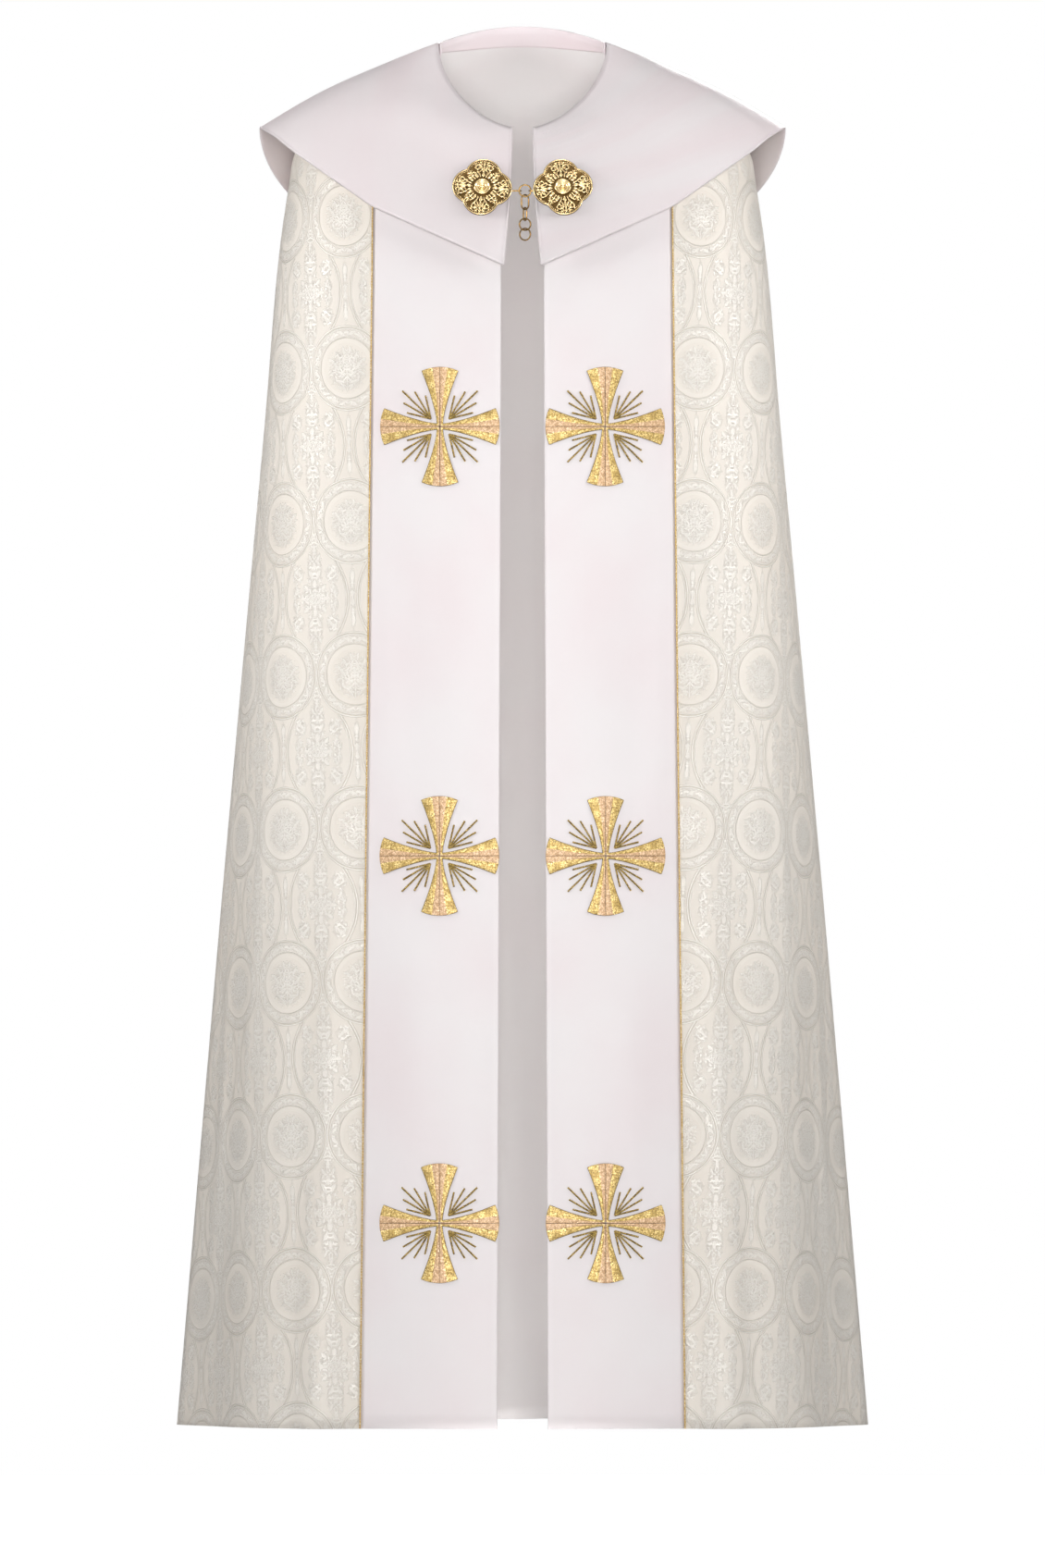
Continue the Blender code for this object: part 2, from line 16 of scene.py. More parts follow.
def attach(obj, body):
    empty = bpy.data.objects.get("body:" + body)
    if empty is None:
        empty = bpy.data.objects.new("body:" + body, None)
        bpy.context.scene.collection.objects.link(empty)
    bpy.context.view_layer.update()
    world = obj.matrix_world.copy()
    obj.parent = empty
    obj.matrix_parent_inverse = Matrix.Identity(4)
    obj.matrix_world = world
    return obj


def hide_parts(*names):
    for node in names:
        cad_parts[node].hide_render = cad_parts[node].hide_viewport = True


bl_info = {
    "name": "Cope Vestment", "version": (1, 0, 0), "blender": (4, 5, 0),
    "location": "View3D > Sidebar > Cope",
    "description": "Dresses the packed cope with its cloth, embroidery and clasp", "category": "Object",
}

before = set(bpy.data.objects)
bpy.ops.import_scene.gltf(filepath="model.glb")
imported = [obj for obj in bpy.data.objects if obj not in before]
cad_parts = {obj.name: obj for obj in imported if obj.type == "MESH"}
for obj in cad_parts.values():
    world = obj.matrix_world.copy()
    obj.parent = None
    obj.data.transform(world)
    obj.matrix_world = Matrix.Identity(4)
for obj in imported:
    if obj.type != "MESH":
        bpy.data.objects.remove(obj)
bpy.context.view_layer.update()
BODY = "root"
MM = 0.001


def rows_of(kind, *rows):
    """A table whose rows are all of one kind."""
    return tuple(kind(*row) for row in rows)


# ---------------------------------------------------------------- the garment's form
HEM_HEIGHT = -1.415
BROCADE_WALL = 0.0016
BAND_WALL = 0.0018
COLLAR_WALL = 0.0024
SEAM_GAP = 0.0003
SEAM_TOP_HEIGHT = -0.166
BAND_INNER_TOP, BAND_INNER_HEM = 0.0216, 0.0258
SEAM_TOP, SEAM_HEM = 0.153, 0.1655
PIPING_RADIUS = 0.0009
PIPING_TOP_LEVELS = (0.83, 0.91)

# One level cut through the hanging cloth: half its width, its depth in front of and
# behind the neck, and how square its corners are (2 is an ellipse).
Section = namedtuple("Section", "height half_width front_depth back_depth squareness")
SECTIONS = rows_of(
    Section, (-0.060, 0.2310, 0.1165, 0.1120, 2.60), (-0.125, 0.2375, 0.1275, 0.1280, 2.65),
    (-0.190, 0.2470, 0.1370, 0.1410, 2.65), (-0.400, 0.2654, 0.1570, 0.1690, 2.60),
    (-0.800, 0.2990, 0.1870, 0.2150, 2.50), (-1.415, 0.3470, 0.2270, 0.2760, 2.40),
)

NECK_HALF_WIDTH, NECK_FRONT_DEPTH, NECK_BACK_DEPTH = 0.0885, 0.0888, 0.0715
NECK_SIDE_HEIGHT = -0.0015
NECK_FRONT_SLOPE, NECK_BACK_SLOPE = 1.002, 0.255
NECK_FRONT_SQUARENESS = 1.80

Ease = namedtuple("Ease", "side front back")
SHELF_HEIGHT = Ease(-0.070, -0.128, -0.060)
FALL_HEIGHT = Ease(-0.125, -0.205, -0.160)

# The folds. place runs round the brocade from the left front seam (0) to the right
# one (1), half_width in the same measure, depth outwards at the hem, and top is the
# height at which the fold begins.
Fold = namedtuple("Fold", "place half_width depth top")
FRONT_FOLDS = rows_of(
    Fold, (0.024, 0.024, 0.0165, -0.40), (0.053, 0.050, 0.0135, -0.40), (0.128, 0.050, -0.0120, -0.34),
    (0.182, 0.030, 0.0080, -0.30),
)
BACK_FOLDS = rows_of(
    Fold, (0.232, 0.027, -0.0210, -0.46), (0.269, 0.033, 0.0170, -0.22), (0.314, 0.031, -0.0320, -0.34),
    (0.356, 0.025, 0.0120, -0.58), (0.393, 0.030, -0.0210, -0.30), (0.440, 0.035, 0.0220, -0.24),
    (0.489, 0.031, -0.0290, -0.42), (0.531, 0.025, 0.0120, -0.62), (0.569, 0.033, -0.0250, -0.28),
    (0.616, 0.034, 0.0210, -0.36), (0.660, 0.028, -0.0180, -0.56), (0.697, 0.030, 0.0150, -0.30),
    (0.735, 0.030, -0.0300, -0.38), (0.771, 0.026, 0.0100, -0.50),
)
FOLDS = FRONT_FOLDS + BACK_FOLDS + tuple(f._replace(place=1.0 - f.place) for f in FRONT_FOLDS)
FOLD_GROWTH = 1.15

# Soft creases on top of the folds. place and height are the middle, lean is how far
# the crease drifts in place for each metre down, and depth is outwards.
Crease = namedtuple("Crease", "place height half_width half_height lean depth")
BROCADE_CREASES = rows_of(
    Crease, (0.058, -0.70, 0.012, 0.30, 0.012, -0.0012), (0.096, -0.90, 0.014, 0.38, 0.020, 0.0014),
    (0.140, -1.10, 0.012, 0.30, -0.008, 0.0014), (0.168, -0.55, 0.013, 0.32, 0.022, -0.0016),
    (0.205, -1.02, 0.012, 0.36, 0.010, 0.0024), (0.251, -0.70, 0.011, 0.33, -0.012, -0.0019),
    (0.292, -1.10, 0.012, 0.30, 0.014, 0.0023), (0.335, -0.60, 0.012, 0.36, 0.010, 0.0021),
    (0.375, -1.00, 0.010, 0.34, -0.010, -0.0018), (0.418, -0.52, 0.014, 0.28, 0.016, 0.0019),
    (0.464, -1.08, 0.011, 0.33, -0.006, 0.0024), (0.510, -0.74, 0.013, 0.42, 0.012, -0.0020),
    (0.550, -1.15, 0.010, 0.27, 0.008, 0.0021), (0.594, -0.66, 0.012, 0.34, -0.016, 0.0018),
    (0.640, -1.04, 0.011, 0.36, 0.012, -0.0022), (0.679, -0.58, 0.013, 0.30, -0.014, 0.0020),
    (0.716, -1.12, 0.010, 0.31, 0.006, 0.0023), (0.752, -0.80, 0.012, 0.38, -0.010, -0.0017),
    (0.796, -0.98, 0.011, 0.35, 0.012, 0.0024), (0.830, -0.60, 0.013, 0.31, -0.020, -0.0017),
    (0.864, -1.14, 0.012, 0.28, 0.010, 0.0013), (0.906, -0.84, 0.014, 0.40, -0.018, 0.0013),
    (0.944, -0.64, 0.012, 0.28, -0.010, -0.0012),
)

# On the bands place is the distance from the middle of the front.
BAND_CREASES = rows_of(
    Crease, (0.062, -0.60, 0.030, 0.20, 0.060, 0.0011), (0.118, -0.64, 0.026, 0.24, -0.040, -0.0010),
    (0.045, -1.02, 0.022, 0.18, 0.020, -0.0009), (0.110, -1.04, 0.034, 0.14, 0.050, 0.0010),
    (0.075, -1.35, 0.050, 0.11, 0.000, 0.0008),
)

# On the collar place is the share of the way round from the left front edge, and
# height the share of the way from the neck to the outer edge.
COLLAR_CREASES = rows_of(
    Crease, (0.085, 0.34, 0.045, 0.40, 0.05, -0.0012), (0.165, 0.55, 0.050, 0.50, 0.06, 0.0014),
    (0.235, 0.60, 0.030, 0.45, -0.04, -0.0013), (0.330, 0.50, 0.035, 0.42, 0.03, -0.0014),
    (0.410, 0.66, 0.030, 0.36, -0.05, 0.0015), (0.520, 0.55, 0.036, 0.50, 0.02, -0.0015),
    (0.610, 0.62, 0.030, 0.40, 0.04, 0.0014), (0.690, 0.50, 0.034, 0.44, -0.03, -0.0013),
    (0.775, 0.58, 0.030, 0.46, 0.04, -0.0012), (0.845, 0.52, 0.048, 0.48, -0.06, 0.0013),
    (0.920, 0.36, 0.042, 0.38, -0.04, -0.0012),
)

COLLAR_NECK_HALF_WIDTH, COLLAR_NECK_FRONT, COLLAR_NECK_BACK = 0.0865, 0.0920, 0.0720
COLLAR_NECK_SIDE_HEIGHT = 0.0038
COLLAR_NECK_FRONT_SLOPE, COLLAR_NECK_BACK_SLOPE = 0.980, 0.253
COLLAR_NECK_GAP_HALF = 0.0120
COLLAR_TIP, COLLAR_FRONT_DEPTH, COLLAR_BACK_DEPTH = 0.269, 0.154, 0.164
COLLAR_TIP_HEIGHT, COLLAR_BACK_DROP = -0.083, 0.146
EdgePoint = namedtuple("EdgePoint", "across height")
COLLAR_FRONT_EDGE = rows_of(
    EdgePoint,
    (0.0200, -0.2260), (0.1530, -0.1660), (0.2350, -0.1080), (0.2530, -0.0930), (0.2690, -0.0830),
)
COLLAR_CROWN = Ease(0.005, 0.015, 0.019)
COLLAR_FRONT_CORNER_CROWN, COLLAR_BACK_CORNER_CROWN = 0.0135, 0.021
CENTRE_EDGE_SWELL = 0.0045

# How finely the cloth is divided here.
SHOULDER_ROWS, FALL_ROWS = 18, 92
BROCADE_COLUMNS = 336
BAND_COLUMNS = 34
RING_SAMPLES = 1441
COLLAR_FRONT_COLUMNS, COLLAR_BACK_COLUMNS, COLLAR_ROWS = 48, 88, 34
ROLLED_EDGE = 0.0022

# The facing inside the neck.
FACING_TURN = math.radians(98.0)
FACING_WIDTH, FACING_WALL, FACING_INSET = 0.0230, 0.0008, 0.0026
FACING_LEVEL, FACING_ROWS, FACING_COLUMNS = 0.45, 10, 72

# The crosses: place on the bands, outline, and the parts of the embroidery.
CROSS_HEIGHTS = {"top": -0.3925, "middle": -0.8310, "lower": -1.2055}
CROSS_ACROSS_TOP, CROSS_ACROSS_LOWER = 0.0843, 0.0847
CROSS_ARM, CROSS_WAIST, CROSS_END = 0.0608, 0.0028, 0.0185
CROSS_FLARE, CROSS_END_ARC = 1.45, 0.0040
WEDGE_SHARE = 0.42
ARM_ROWS, ARM_COLUMNS = 44, 24
ARM_LIFT, ARM_CROWN, ARM_GROOVE, ARM_GROOVE_HALF = 0.0006, 0.0008, 0.00022, 0.07
OUTLINE_RADIUS, OUTLINE_TURN = 0.00044, 0.0016
RAY_RADIUS, RAY_FLATNESS = 0.00106, 0.62
RAY_START = (0.0092, 0.0078)
RAY_TIPS = ((0.0148, 0.0317), (0.0258, 0.0356), (0.0385, 0.0365), (0.0372, 0.0242), (0.0337, 0.0141))

# The clasp.
MEDALLION_ACROSS, MEDALLION_HEIGHT = 0.0412, -0.1491
MEDALLION_RADIUS = 0.0303
LOBE_OFFSET = 0.40
MEDALLION_LIFT = 0.0022
MEDALLION_TURNS = {"left": math.radians(6.0), "right": math.radians(-8.0)}
WIRE_RADIUS, LINK_PLAY = 0.00080, 0.0019
WIRE_GILT, WIRE_TARNISH = (0.330, 0.205, 0.070), (0.110, 0.062, 0.022)
RING_RADIUS = 0.0060
CHAIN_ACROSS, CHAIN_DEPTH = 0.0026, -0.1430
LINK_RADIUS, LINK_LENGTH = 0.0046, 0.0150
SMALL_LINK_LENGTH, SMALL_LINK_RADIUS = 0.0130, 0.0032
CLASP_RING_HEIGHT = -0.1514
# The loops of the eye and the hook: half their width, how far from the ring's middle
# they turn back, and where they leave the medallions.
LOOP_HALF, LOOP_REACH = 0.0018, 0.0041
EYE_START, HOOK_START = -0.0105, 0.0107


# ---------------------------------------------------------------- settings
class CopeClothSettings(bpy.types.PropertyGroup):
    brocade_colour: bpy.props.FloatVectorProperty(
        name="Brocade", description="Ground colour of the jacquard", subtype="COLOR", size=3, min=0.0,
        max=1.0, default=(0.788, 0.738, 0.672),
    )
    figure_colour: bpy.props.FloatVectorProperty(
        name="Figure", description="Colour of the woven figure", subtype="COLOR", size=3, min=0.0,
        max=1.0, default=(0.930, 0.900, 0.845),
    )
    satin_colour: bpy.props.FloatVectorProperty(
        name="Satin", description="Colour of the satin of bands and collar", subtype="COLOR", size=3,
        min=0.0, max=1.0, default=(0.765, 0.722, 0.730),
    )
    repeat_across: bpy.props.FloatProperty(
        name="Repeat across", description="Distance between roundels across the cloth", unit="LENGTH",
        default=0.0880,
    )
    repeat_along: bpy.props.FloatProperty(
        name="Repeat along", description="Distance between rows of like roundels along the cloth",
        unit="LENGTH", default=0.1572,
    )
    figure_relief: bpy.props.FloatProperty(
        name="Figure relief", description="How far the woven figure seems to stand up from its ground",
        unit="LENGTH", default=0.00046,
    )


class CopeGoldSettings(bpy.types.PropertyGroup):
    gilt_colour: bpy.props.FloatVectorProperty(
        name="Gilt", description="Colour of the polished clasp", subtype="COLOR", size=3, min=0.0,
        max=1.0, default=(0.950, 0.730, 0.390),
    )
    thread_colour: bpy.props.FloatVectorProperty(
        name="Gold thread", description="Colour of the embroidery's gold thread", subtype="COLOR",
        size=3, min=0.0, max=1.0, default=(0.480, 0.325, 0.095),
    )
    wedge_colour: bpy.props.FloatVectorProperty(
        name="Peach thread", description="Colour of the middle wedge of each arm", subtype="COLOR",
        size=3, min=0.0, max=1.0, default=(0.610, 0.385, 0.208),
    )
    cord_turn: bpy.props.FloatProperty(
        name="Piping twist", description="Length of one turn of the piping cord", unit="LENGTH",
        default=0.0060,
    )


class CopeStageSettings(bpy.types.PropertyGroup):
    camera_distance: bpy.props.FloatProperty(
        name="Camera distance", description="Distance from the garment's middle plane to the camera",
        unit="LENGTH", default=30.0,
    )
    camera_height: bpy.props.FloatProperty(
        name="Camera height", description="Height of the camera, measured from the neck", unit="LENGTH",
        default=-0.7576,
    )
    view_height: bpy.props.FloatProperty(
        name="View height", description="Height of what the camera takes in at the middle plane",
        unit="LENGTH", default=1.610,
    )
    floor_height: bpy.props.FloatProperty(
        name="Floor height", description="Height of the floor under the hanging hem", unit="LENGTH",
        default=-1.548,
    )


# ---------------------------------------------------------------- node trees
def sum_method(operation, turned=False):
    """A method of Number that adds a maths node; turned puts the number second."""

    def method(self, other):
        values = (other, self) if turned else (self, other)
        return self.nodes.maths(operation, *values)

    return method


class Number:
    """A value that a node puts out, which can be used in ordinary sums."""

    def __init__(self, nodes, socket):
        self.nodes = nodes
        self.socket = socket

    __add__, __radd__ = sum_method("ADD"), sum_method("ADD", True)
    __sub__, __rsub__ = sum_method("SUBTRACT"), sum_method("SUBTRACT", True)
    __mul__, __rmul__ = sum_method("MULTIPLY"), sum_method("MULTIPLY", True)
    __truediv__, __rtruediv__ = sum_method("DIVIDE"), sum_method("DIVIDE", True)

    def __abs__(self):
        return self.nodes.maths("ABSOLUTE", self)


class Nodes:
    """Builds a node tree from plain calls, and sets the nodes out in rows."""

    ROW = 14
    SPACING = (190.0, -230.0)

    def __init__(self, tree):
        self.tree = tree
        self.count = len(tree.nodes)

    def add(self, kind, inputs=None, **settings):
        node = self.tree.nodes.new(kind)
        row, column = divmod(self.count, self.ROW)
        node.location = (self.SPACING[0] * column, self.SPACING[1] * row)
        self.count += 1
        for name, value in settings.items():
            setattr(node, name, value)
        for name, value in (inputs or {}).items():
            self.feed(node.inputs[name], value)
        return node

    def out(self, kind, output, inputs=None, **settings):
        """Adds a node and gives one of the values that it puts out."""
        return Number(self, self.add(kind, inputs, **settings).outputs[output])

    def feed(self, socket, value):
        """Links a node's output to a socket, or sets the socket to a value."""
        if isinstance(value, Number):
            self.tree.links.new(value.socket, socket)
        elif isinstance(value, tuple) and len(value) == 3 and socket.type == "RGBA":
            socket.default_value = (*value, 1.0)
        else:
            socket.default_value = value

    def maths(self, operation, *values, clamp=False):
        inputs = dict(enumerate(values))
        return self.out("ShaderNodeMath", 0, inputs, operation=operation, use_clamp=clamp)

    def most(self, first, *others):
        """The greatest of its values."""
        for other in others:
            first = self.maths("MAXIMUM", first, other)
        return first

    def length(self, x, y):
        return self.maths("SQRT", x * x + y * y)

    def split(self, vector):
        node = self.add("ShaderNodeSeparateXYZ", {"Vector": vector})
        return [Number(self, node.outputs[k]) for k in range(3)]

    def join(self, x, y, z):
        return self.out("ShaderNodeCombineXYZ", "Vector", {"X": x, "Y": y, "Z": z})

    def sharp(self, inside, softness):
        """1 where the distance inside an edge is positive, 0 outside it."""
        return self.maths("MULTIPLY_ADD", inside, 1.0 / softness, 0.5, clamp=True)

    def mix(self, share, first, second):
        """Blends two colours."""
        return self.out("ShaderNodeMix", 2, {0: share, 6: first, 7: second}, data_type="RGBA")

    def remap(self, value, low, high, to_low=0.0, to_high=1.0):
        ends = {"From Min": low, "From Max": high, "To Min": to_low, "To Max": to_high}
        return self.out("ShaderNodeMapRange", "Result", {"Value": value, **ends})

    def noise(self, vector, scale, detail=2.0, roughness=0.5):
        inputs = {"Vector": vector, "Scale": scale, "Detail": detail, "Roughness": roughness}
        return self.out("ShaderNodeTexNoise", "Fac", inputs)

    def bump(self, height, distance):
        return self.out("ShaderNodeBump", "Normal", {"Height": height, "Distance": distance})

    def uv(self, name):
        return self.out("ShaderNodeUVMap", "UV", uv_map=name)

    def place(self):
        return self.out("ShaderNodeTexCoord", "Object")

    def group(self, tree, **inputs):
        """Adds a shader group and gives all that it puts out, by name."""
        inputs = {name.replace("_", " "): value for name, value in inputs.items()}
        node = self.add("ShaderNodeGroup", node_tree=tree)
        for name, value in inputs.items():
            self.feed(node.inputs[name], value)
        return {socket.name: Number(self, socket) for socket in node.outputs}


SOCKET_KINDS = {float: "Float", int: "Int", tuple: "Color"}


def add_sockets(tree, direction, sockets):
    """Gives a tree named sockets, each with its default or, in words, its kind."""
    for title, value in sockets.items():
        kind = value if isinstance(value, str) else SOCKET_KINDS[type(value)]
        socket = tree.interface.new_socket(
            name=title.replace("_", " "), in_out=direction, socket_type=f"NodeSocket{kind}"
        )
        if kind != value:
            socket.default_value = (*value, 1.0) if kind == "Color" else value


def node_tree(title, kind, outputs, **inputs):
    """Stands above a function that fills a tree: it takes the tree's inputs and gives
    its outputs, by name. The tree is made once, when it is first asked for."""

    def keep(fill):
        def give():
            tree = bpy.data.node_groups.get(title)
            if tree is None:
                tree = bpy.data.node_groups.new(title, kind)
                if kind == "GeometryNodeTree":
                    tree.is_modifier = True
                add_sockets(tree, "INPUT", inputs)
                add_sockets(tree, "OUTPUT", outputs)
                nodes = Nodes(tree)
                start = nodes.add("NodeGroupInput")
                end = nodes.add("NodeGroupOutput")
                ends = fill(nodes, {s.name: Number(nodes, s) for s in start.outputs})
                for name, value in ends.items():
                    nodes.feed(end.inputs[name], value)
            return tree

        return give

    return keep


def effect(title, outputs, **inputs):
    """A shared effect of the materials, as a shader group."""
    kinds = {name: "Color" if name == "Colour" else "Float" for name in outputs.split()}
    return node_tree(title, "ShaderNodeTree", kinds, Vector="Vector", **inputs)


def material(name, finish, *values):
    """A material, made once; finish gives what goes into its shader's sockets."""
    made = bpy.data.materials.get(name)
    if made is None:
        made = bpy.data.materials.new(name)
        made.use_nodes = True
        nodes = Nodes(made.node_tree)
        shader = made.node_tree.nodes["Principled BSDF"]
        shader.location = (3000.0, 200.0)
        made.node_tree.nodes["Material Output"].location = (3300.0, 200.0)
        for socket, value in finish(nodes, *values).items():
            nodes.feed(shader.inputs[socket], value)
    return made


# ---------------------------------------------------------------- shared effects
@effect("Woven threads", "Height Slub", Thread=0.0006)
def weave_group(nodes, start):
    """A plain weave: threads over and under, in the piece's own measure."""
    across, along, _ = nodes.split(start["Vector"])
    turn = 2.0 * math.pi / start["Thread"]
    warp = nodes.maths("SINE", across * turn)
    weft = nodes.maths("SINE", along * turn)
    stretched = nodes.join(across * 900.0, along * 60.0, 0.0)
    return {"Height": warp * weft * 0.5 + 0.5, "Slub": nodes.noise(stretched, 1.0, 3.0)}


@effect(
    "Cloudy tone", "Colour", Colour=(0.8, 0.8, 0.8), Warm_Colour=(0.8, 0.75, 0.75), Cloud_Size=0.12,
    Amount=0.5,
)
def tone_group(nodes, start):
    """Slow, cloudy changes of tone over a piece."""
    cloud = nodes.noise(start["Vector"], 1.0 / start["Cloud Size"], 3.0, 0.45)
    share = nodes.remap(cloud, 0.35, 0.68) * start["Amount"]
    return {"Colour": nodes.mix(share, start["Colour"], start["Warm Colour"])}


@effect(
    "Metal thread flecks", "Colour Height Roughness", Fleck=0.0009, Colour=(0.7, 0.5, 0.2),
    Light_Colour=(0.95, 0.85, 0.6), Dark_Colour=(0.4, 0.25, 0.1),
)
def glitter_group(nodes, start):
    """Flecks of metal thread, each at its own angle, with a bump and roughness of their own; in the
    colour some flecks get a painted glint and others painted shade.
    """
    cells = nodes.add(
        "ShaderNodeTexVoronoi", {"Vector": start["Vector"], "Scale": 1.0 / start["Fleck"]}
    )
    value, other, _ = nodes.split(Number(nodes, cells.outputs["Color"]))
    # Some flecks get a painted glint, others painted shade, in the colour.
    painted_glint = nodes.remap(value, 0.62, 0.95)
    painted_fleck_shade = nodes.remap(value, 0.42, 0.08)
    colour = nodes.mix(painted_fleck_shade * 0.75, start["Colour"], start["Dark Colour"])
    return {
        "Colour": nodes.mix(painted_glint * 0.8, colour, start["Light Colour"]),
        "Height": value * 0.6 + Number(nodes, cells.outputs["Distance"]) * -0.8,
        "Roughness": nodes.remap(other, 0.0, 1.0, 0.28, 0.62),
    }


@effect(
    "Gilt patina", "Colour Roughness Height", Gilt=(0.86, 0.64, 0.3), Tarnish=(0.35, 0.2, 0.07),
    Amount=0.4, Polish=0.2,
)
def patina_group(nodes, start):
    """Polish and tarnish of gilt metal: bright where it is polished."""
    coarse = nodes.noise(start["Vector"], 420.0, 3.0)
    fine = nodes.noise(start["Vector"], 1900.0, 2.0)
    share = nodes.remap(coarse, 0.42, 0.72) * start["Amount"]
    return {
        "Colour": nodes.mix(share, start["Gilt"], start["Tarnish"]),
        "Roughness": start["Polish"] + coarse * 0.10 + share * 0.20,
        "Height": coarse * 0.7 + fine * 0.3,
    }


# Sizes of the woven figure, in millimetres from the middle of its roundel or rose.
FIGURE_SOFTNESS = 0.36
LEAF_RIM, LEAF_HOLLOW = 0.75, 0.55
Leaf = namedtuple("Leaf", "across up angle half_length half_width")
Rose = namedtuple("Rose", "radius petals depth")
Spray = namedtuple("Spray", "across up reach_across reach_up")
ROUNDEL_EDGE = 44.4
ROUNDEL_LINES = ((43.4, 0.52), (41.0, 0.40), (31.6, 0.26))
# Painted shade: dark lines beside the roundel's lines, where its relief would be shaded.
ROUNDEL_SHADE = ((42.2, 0.42), (44.5, 0.30), (30.9, 0.26))
ROUNDEL_BAND = (28.4, 2.0)
VINE_RADIUS, VINE_HALF_WIDTH, VINE_LEAVES = 36.4, 4.0, 20
VINE_LEAF = Leaf(0.0, 0.0, 34.0, 5.4, 1.7)
BOUQUET_FLOWER_HEIGHT = 5.5
BOUQUET_PETALS = rows_of(Rose, (7.4, 6, 0.20), (4.8, 5, 0.16), (2.2, 4, 0.10))
BOUQUET_LEAVES = rows_of(
    Leaf, (6.4, -6.0, 32.0, 5.6, 1.5), (8.2, -13.5, 12.0, 6.0, 1.5), (4.6, -19.0, 52.0, 4.6, 1.3),
    (12.6, 2.0, 52.0, 5.0, 1.4), (10.2, 12.6, 66.0, 4.8, 1.3), (3.6, 18.4, 78.0, 4.4, 1.2),
    (17.0, -5.0, -28.0, 4.2, 1.2), (18.2, 8.4, 20.0, 4.0, 1.2),
)
BOUQUET_STEM = (-24.0, -2.0, 0.45)
BOUQUET_SPRAYS = (Spray(0.0, -1.0, 23.5, 25.0),)
# The ogee lines run from one roundel to the next and pinch halfway between them.
OGEE_LINES = ((39.3, 0.52), (36.9, 0.40))
# Painted shade: dark lines beside the ogee lines, where their relief would be shaded.
OGEE_SHADE = ((38.1, 0.42), (40.4, 0.30))
OGEE_FLATTENING = 0.6
OGEE_END = math.radians(57.0)
OGEE_REACH = 40.0
ROSE_PETALS = rows_of(Rose, (8.8, 9, 0.16), (6.0, 7, 0.18), (3.2, 5, 0.18))
ROSE_LEAVES = rows_of(
    Leaf, (0.0, 14.6, 90.0, 5.0, 2.8), (14.4, 0.0, 0.0, 4.4, 2.4), (10.8, 11.2, 46.0, 4.4, 2.2),
    (21.6, 9.6, 62.0, 4.6, 1.3), (24.6, 6.0, 100.0, 3.6, 1.1), (4.8, 24.0, 60.0, 5.2, 1.5),
    (19.6, 26.0, 52.0, 4.8, 1.4), (24.8, 27.2, 108.0, 4.0, 1.2), (0.0, 33.0, 90.0, 5.2, 1.8),
    (5.2, 42.0, 62.0, 4.6, 1.4), (0.0, 50.5, 90.0, 4.6, 1.6), (3.2, 60.5, 74.0, 3.6, 1.0),
    (44.0, 22.5, 90.0, 6.4, 2.6), (44.0, 3.5, 90.0, 4.2, 1.4),
)
ROSE_SPRAYS = rows_of(
    Spray, (0.0, 0.0, 19.0, 19.0), (0.0, 30.0, 11.0, 22.0), (0.0, 56.0, 6.5, 14.0),
    (21.0, 25.0, 9.0, 11.0), (23.5, 7.0, 6.0, 8.0), (44.0, 14.0, 3.2, 22.0),
)
# Small leaves and tendrils that fill the sprays: how many to a millimetre, and how
# full a spray's middle and edge are.
SPRAY_LEAVES, SPRAY_TENDRILS = 0.42, 0.30
SPRAY_MIDDLE, SPRAY_EDGE = 0.47, 0.64
TENDRIL_TURNS, TENDRIL_HALF = 7.0, 0.15


def leaf_mask(nodes, across, up, leaf):
    """A pointed leaf with a bright rim."""
    angle = math.radians(leaf.angle)
    beside = across - leaf.across
    above = up - leaf.up
    along = beside * math.cos(angle) + above * math.sin(angle)
    aside = abs(above * math.cos(angle) - beside * math.sin(angle))
    reach = along / leaf.half_length
    edge = leaf.half_width - reach * reach * leaf.half_width - aside
    inner = nodes.sharp(edge - LEAF_RIM, FIGURE_SOFTNESS)
    return nodes.sharp(edge, FIGURE_SOFTNESS) - inner * LEAF_HOLLOW


def leaf_masks(nodes, across, up, leaves):
    return [leaf_mask(nodes, across, up, leaf) for leaf in leaves]


def rose_mask(nodes, radius, angle, rings):
    """Scalloped rings of petals, one within the other, with bare lines between."""
    mask = None
    for k, ring in enumerate(rings):
        wave = nodes.maths("COSINE", angle * float(ring.petals) + 1.3 * k)
        rim = ring.radius - ring.radius * ring.depth * (wave * -0.5 + 0.5)
        petal = nodes.sharp(rim - radius, FIGURE_SOFTNESS)
        outline = nodes.sharp(rim - radius - 0.95, FIGURE_SOFTNESS)
        ring_mask = petal - outline * 0.85
        mask = ring_mask if mask is None else mask * (1.0 - petal) + ring_mask
    return mask


def spray_fullness(nodes, across, up, sprays):
    """How close a place is to the middle of the nearest spray, from 0 to 1."""
    inside = []
    for spray in sprays:
        beside = (across - spray.across) / spray.reach_across
        above = (up - spray.up) / spray.reach_up
        inside.append(1.0 - (beside * beside + above * above))
    return nodes.most(*inside, 0.0)


def line_masks(nodes, measure, lines):
    """Lines at given measures, each with half its width."""
    drawn = [nodes.sharp(half - abs(measure - at), FIGURE_SOFTNESS) for at, half in lines]
    return nodes.most(*drawn)
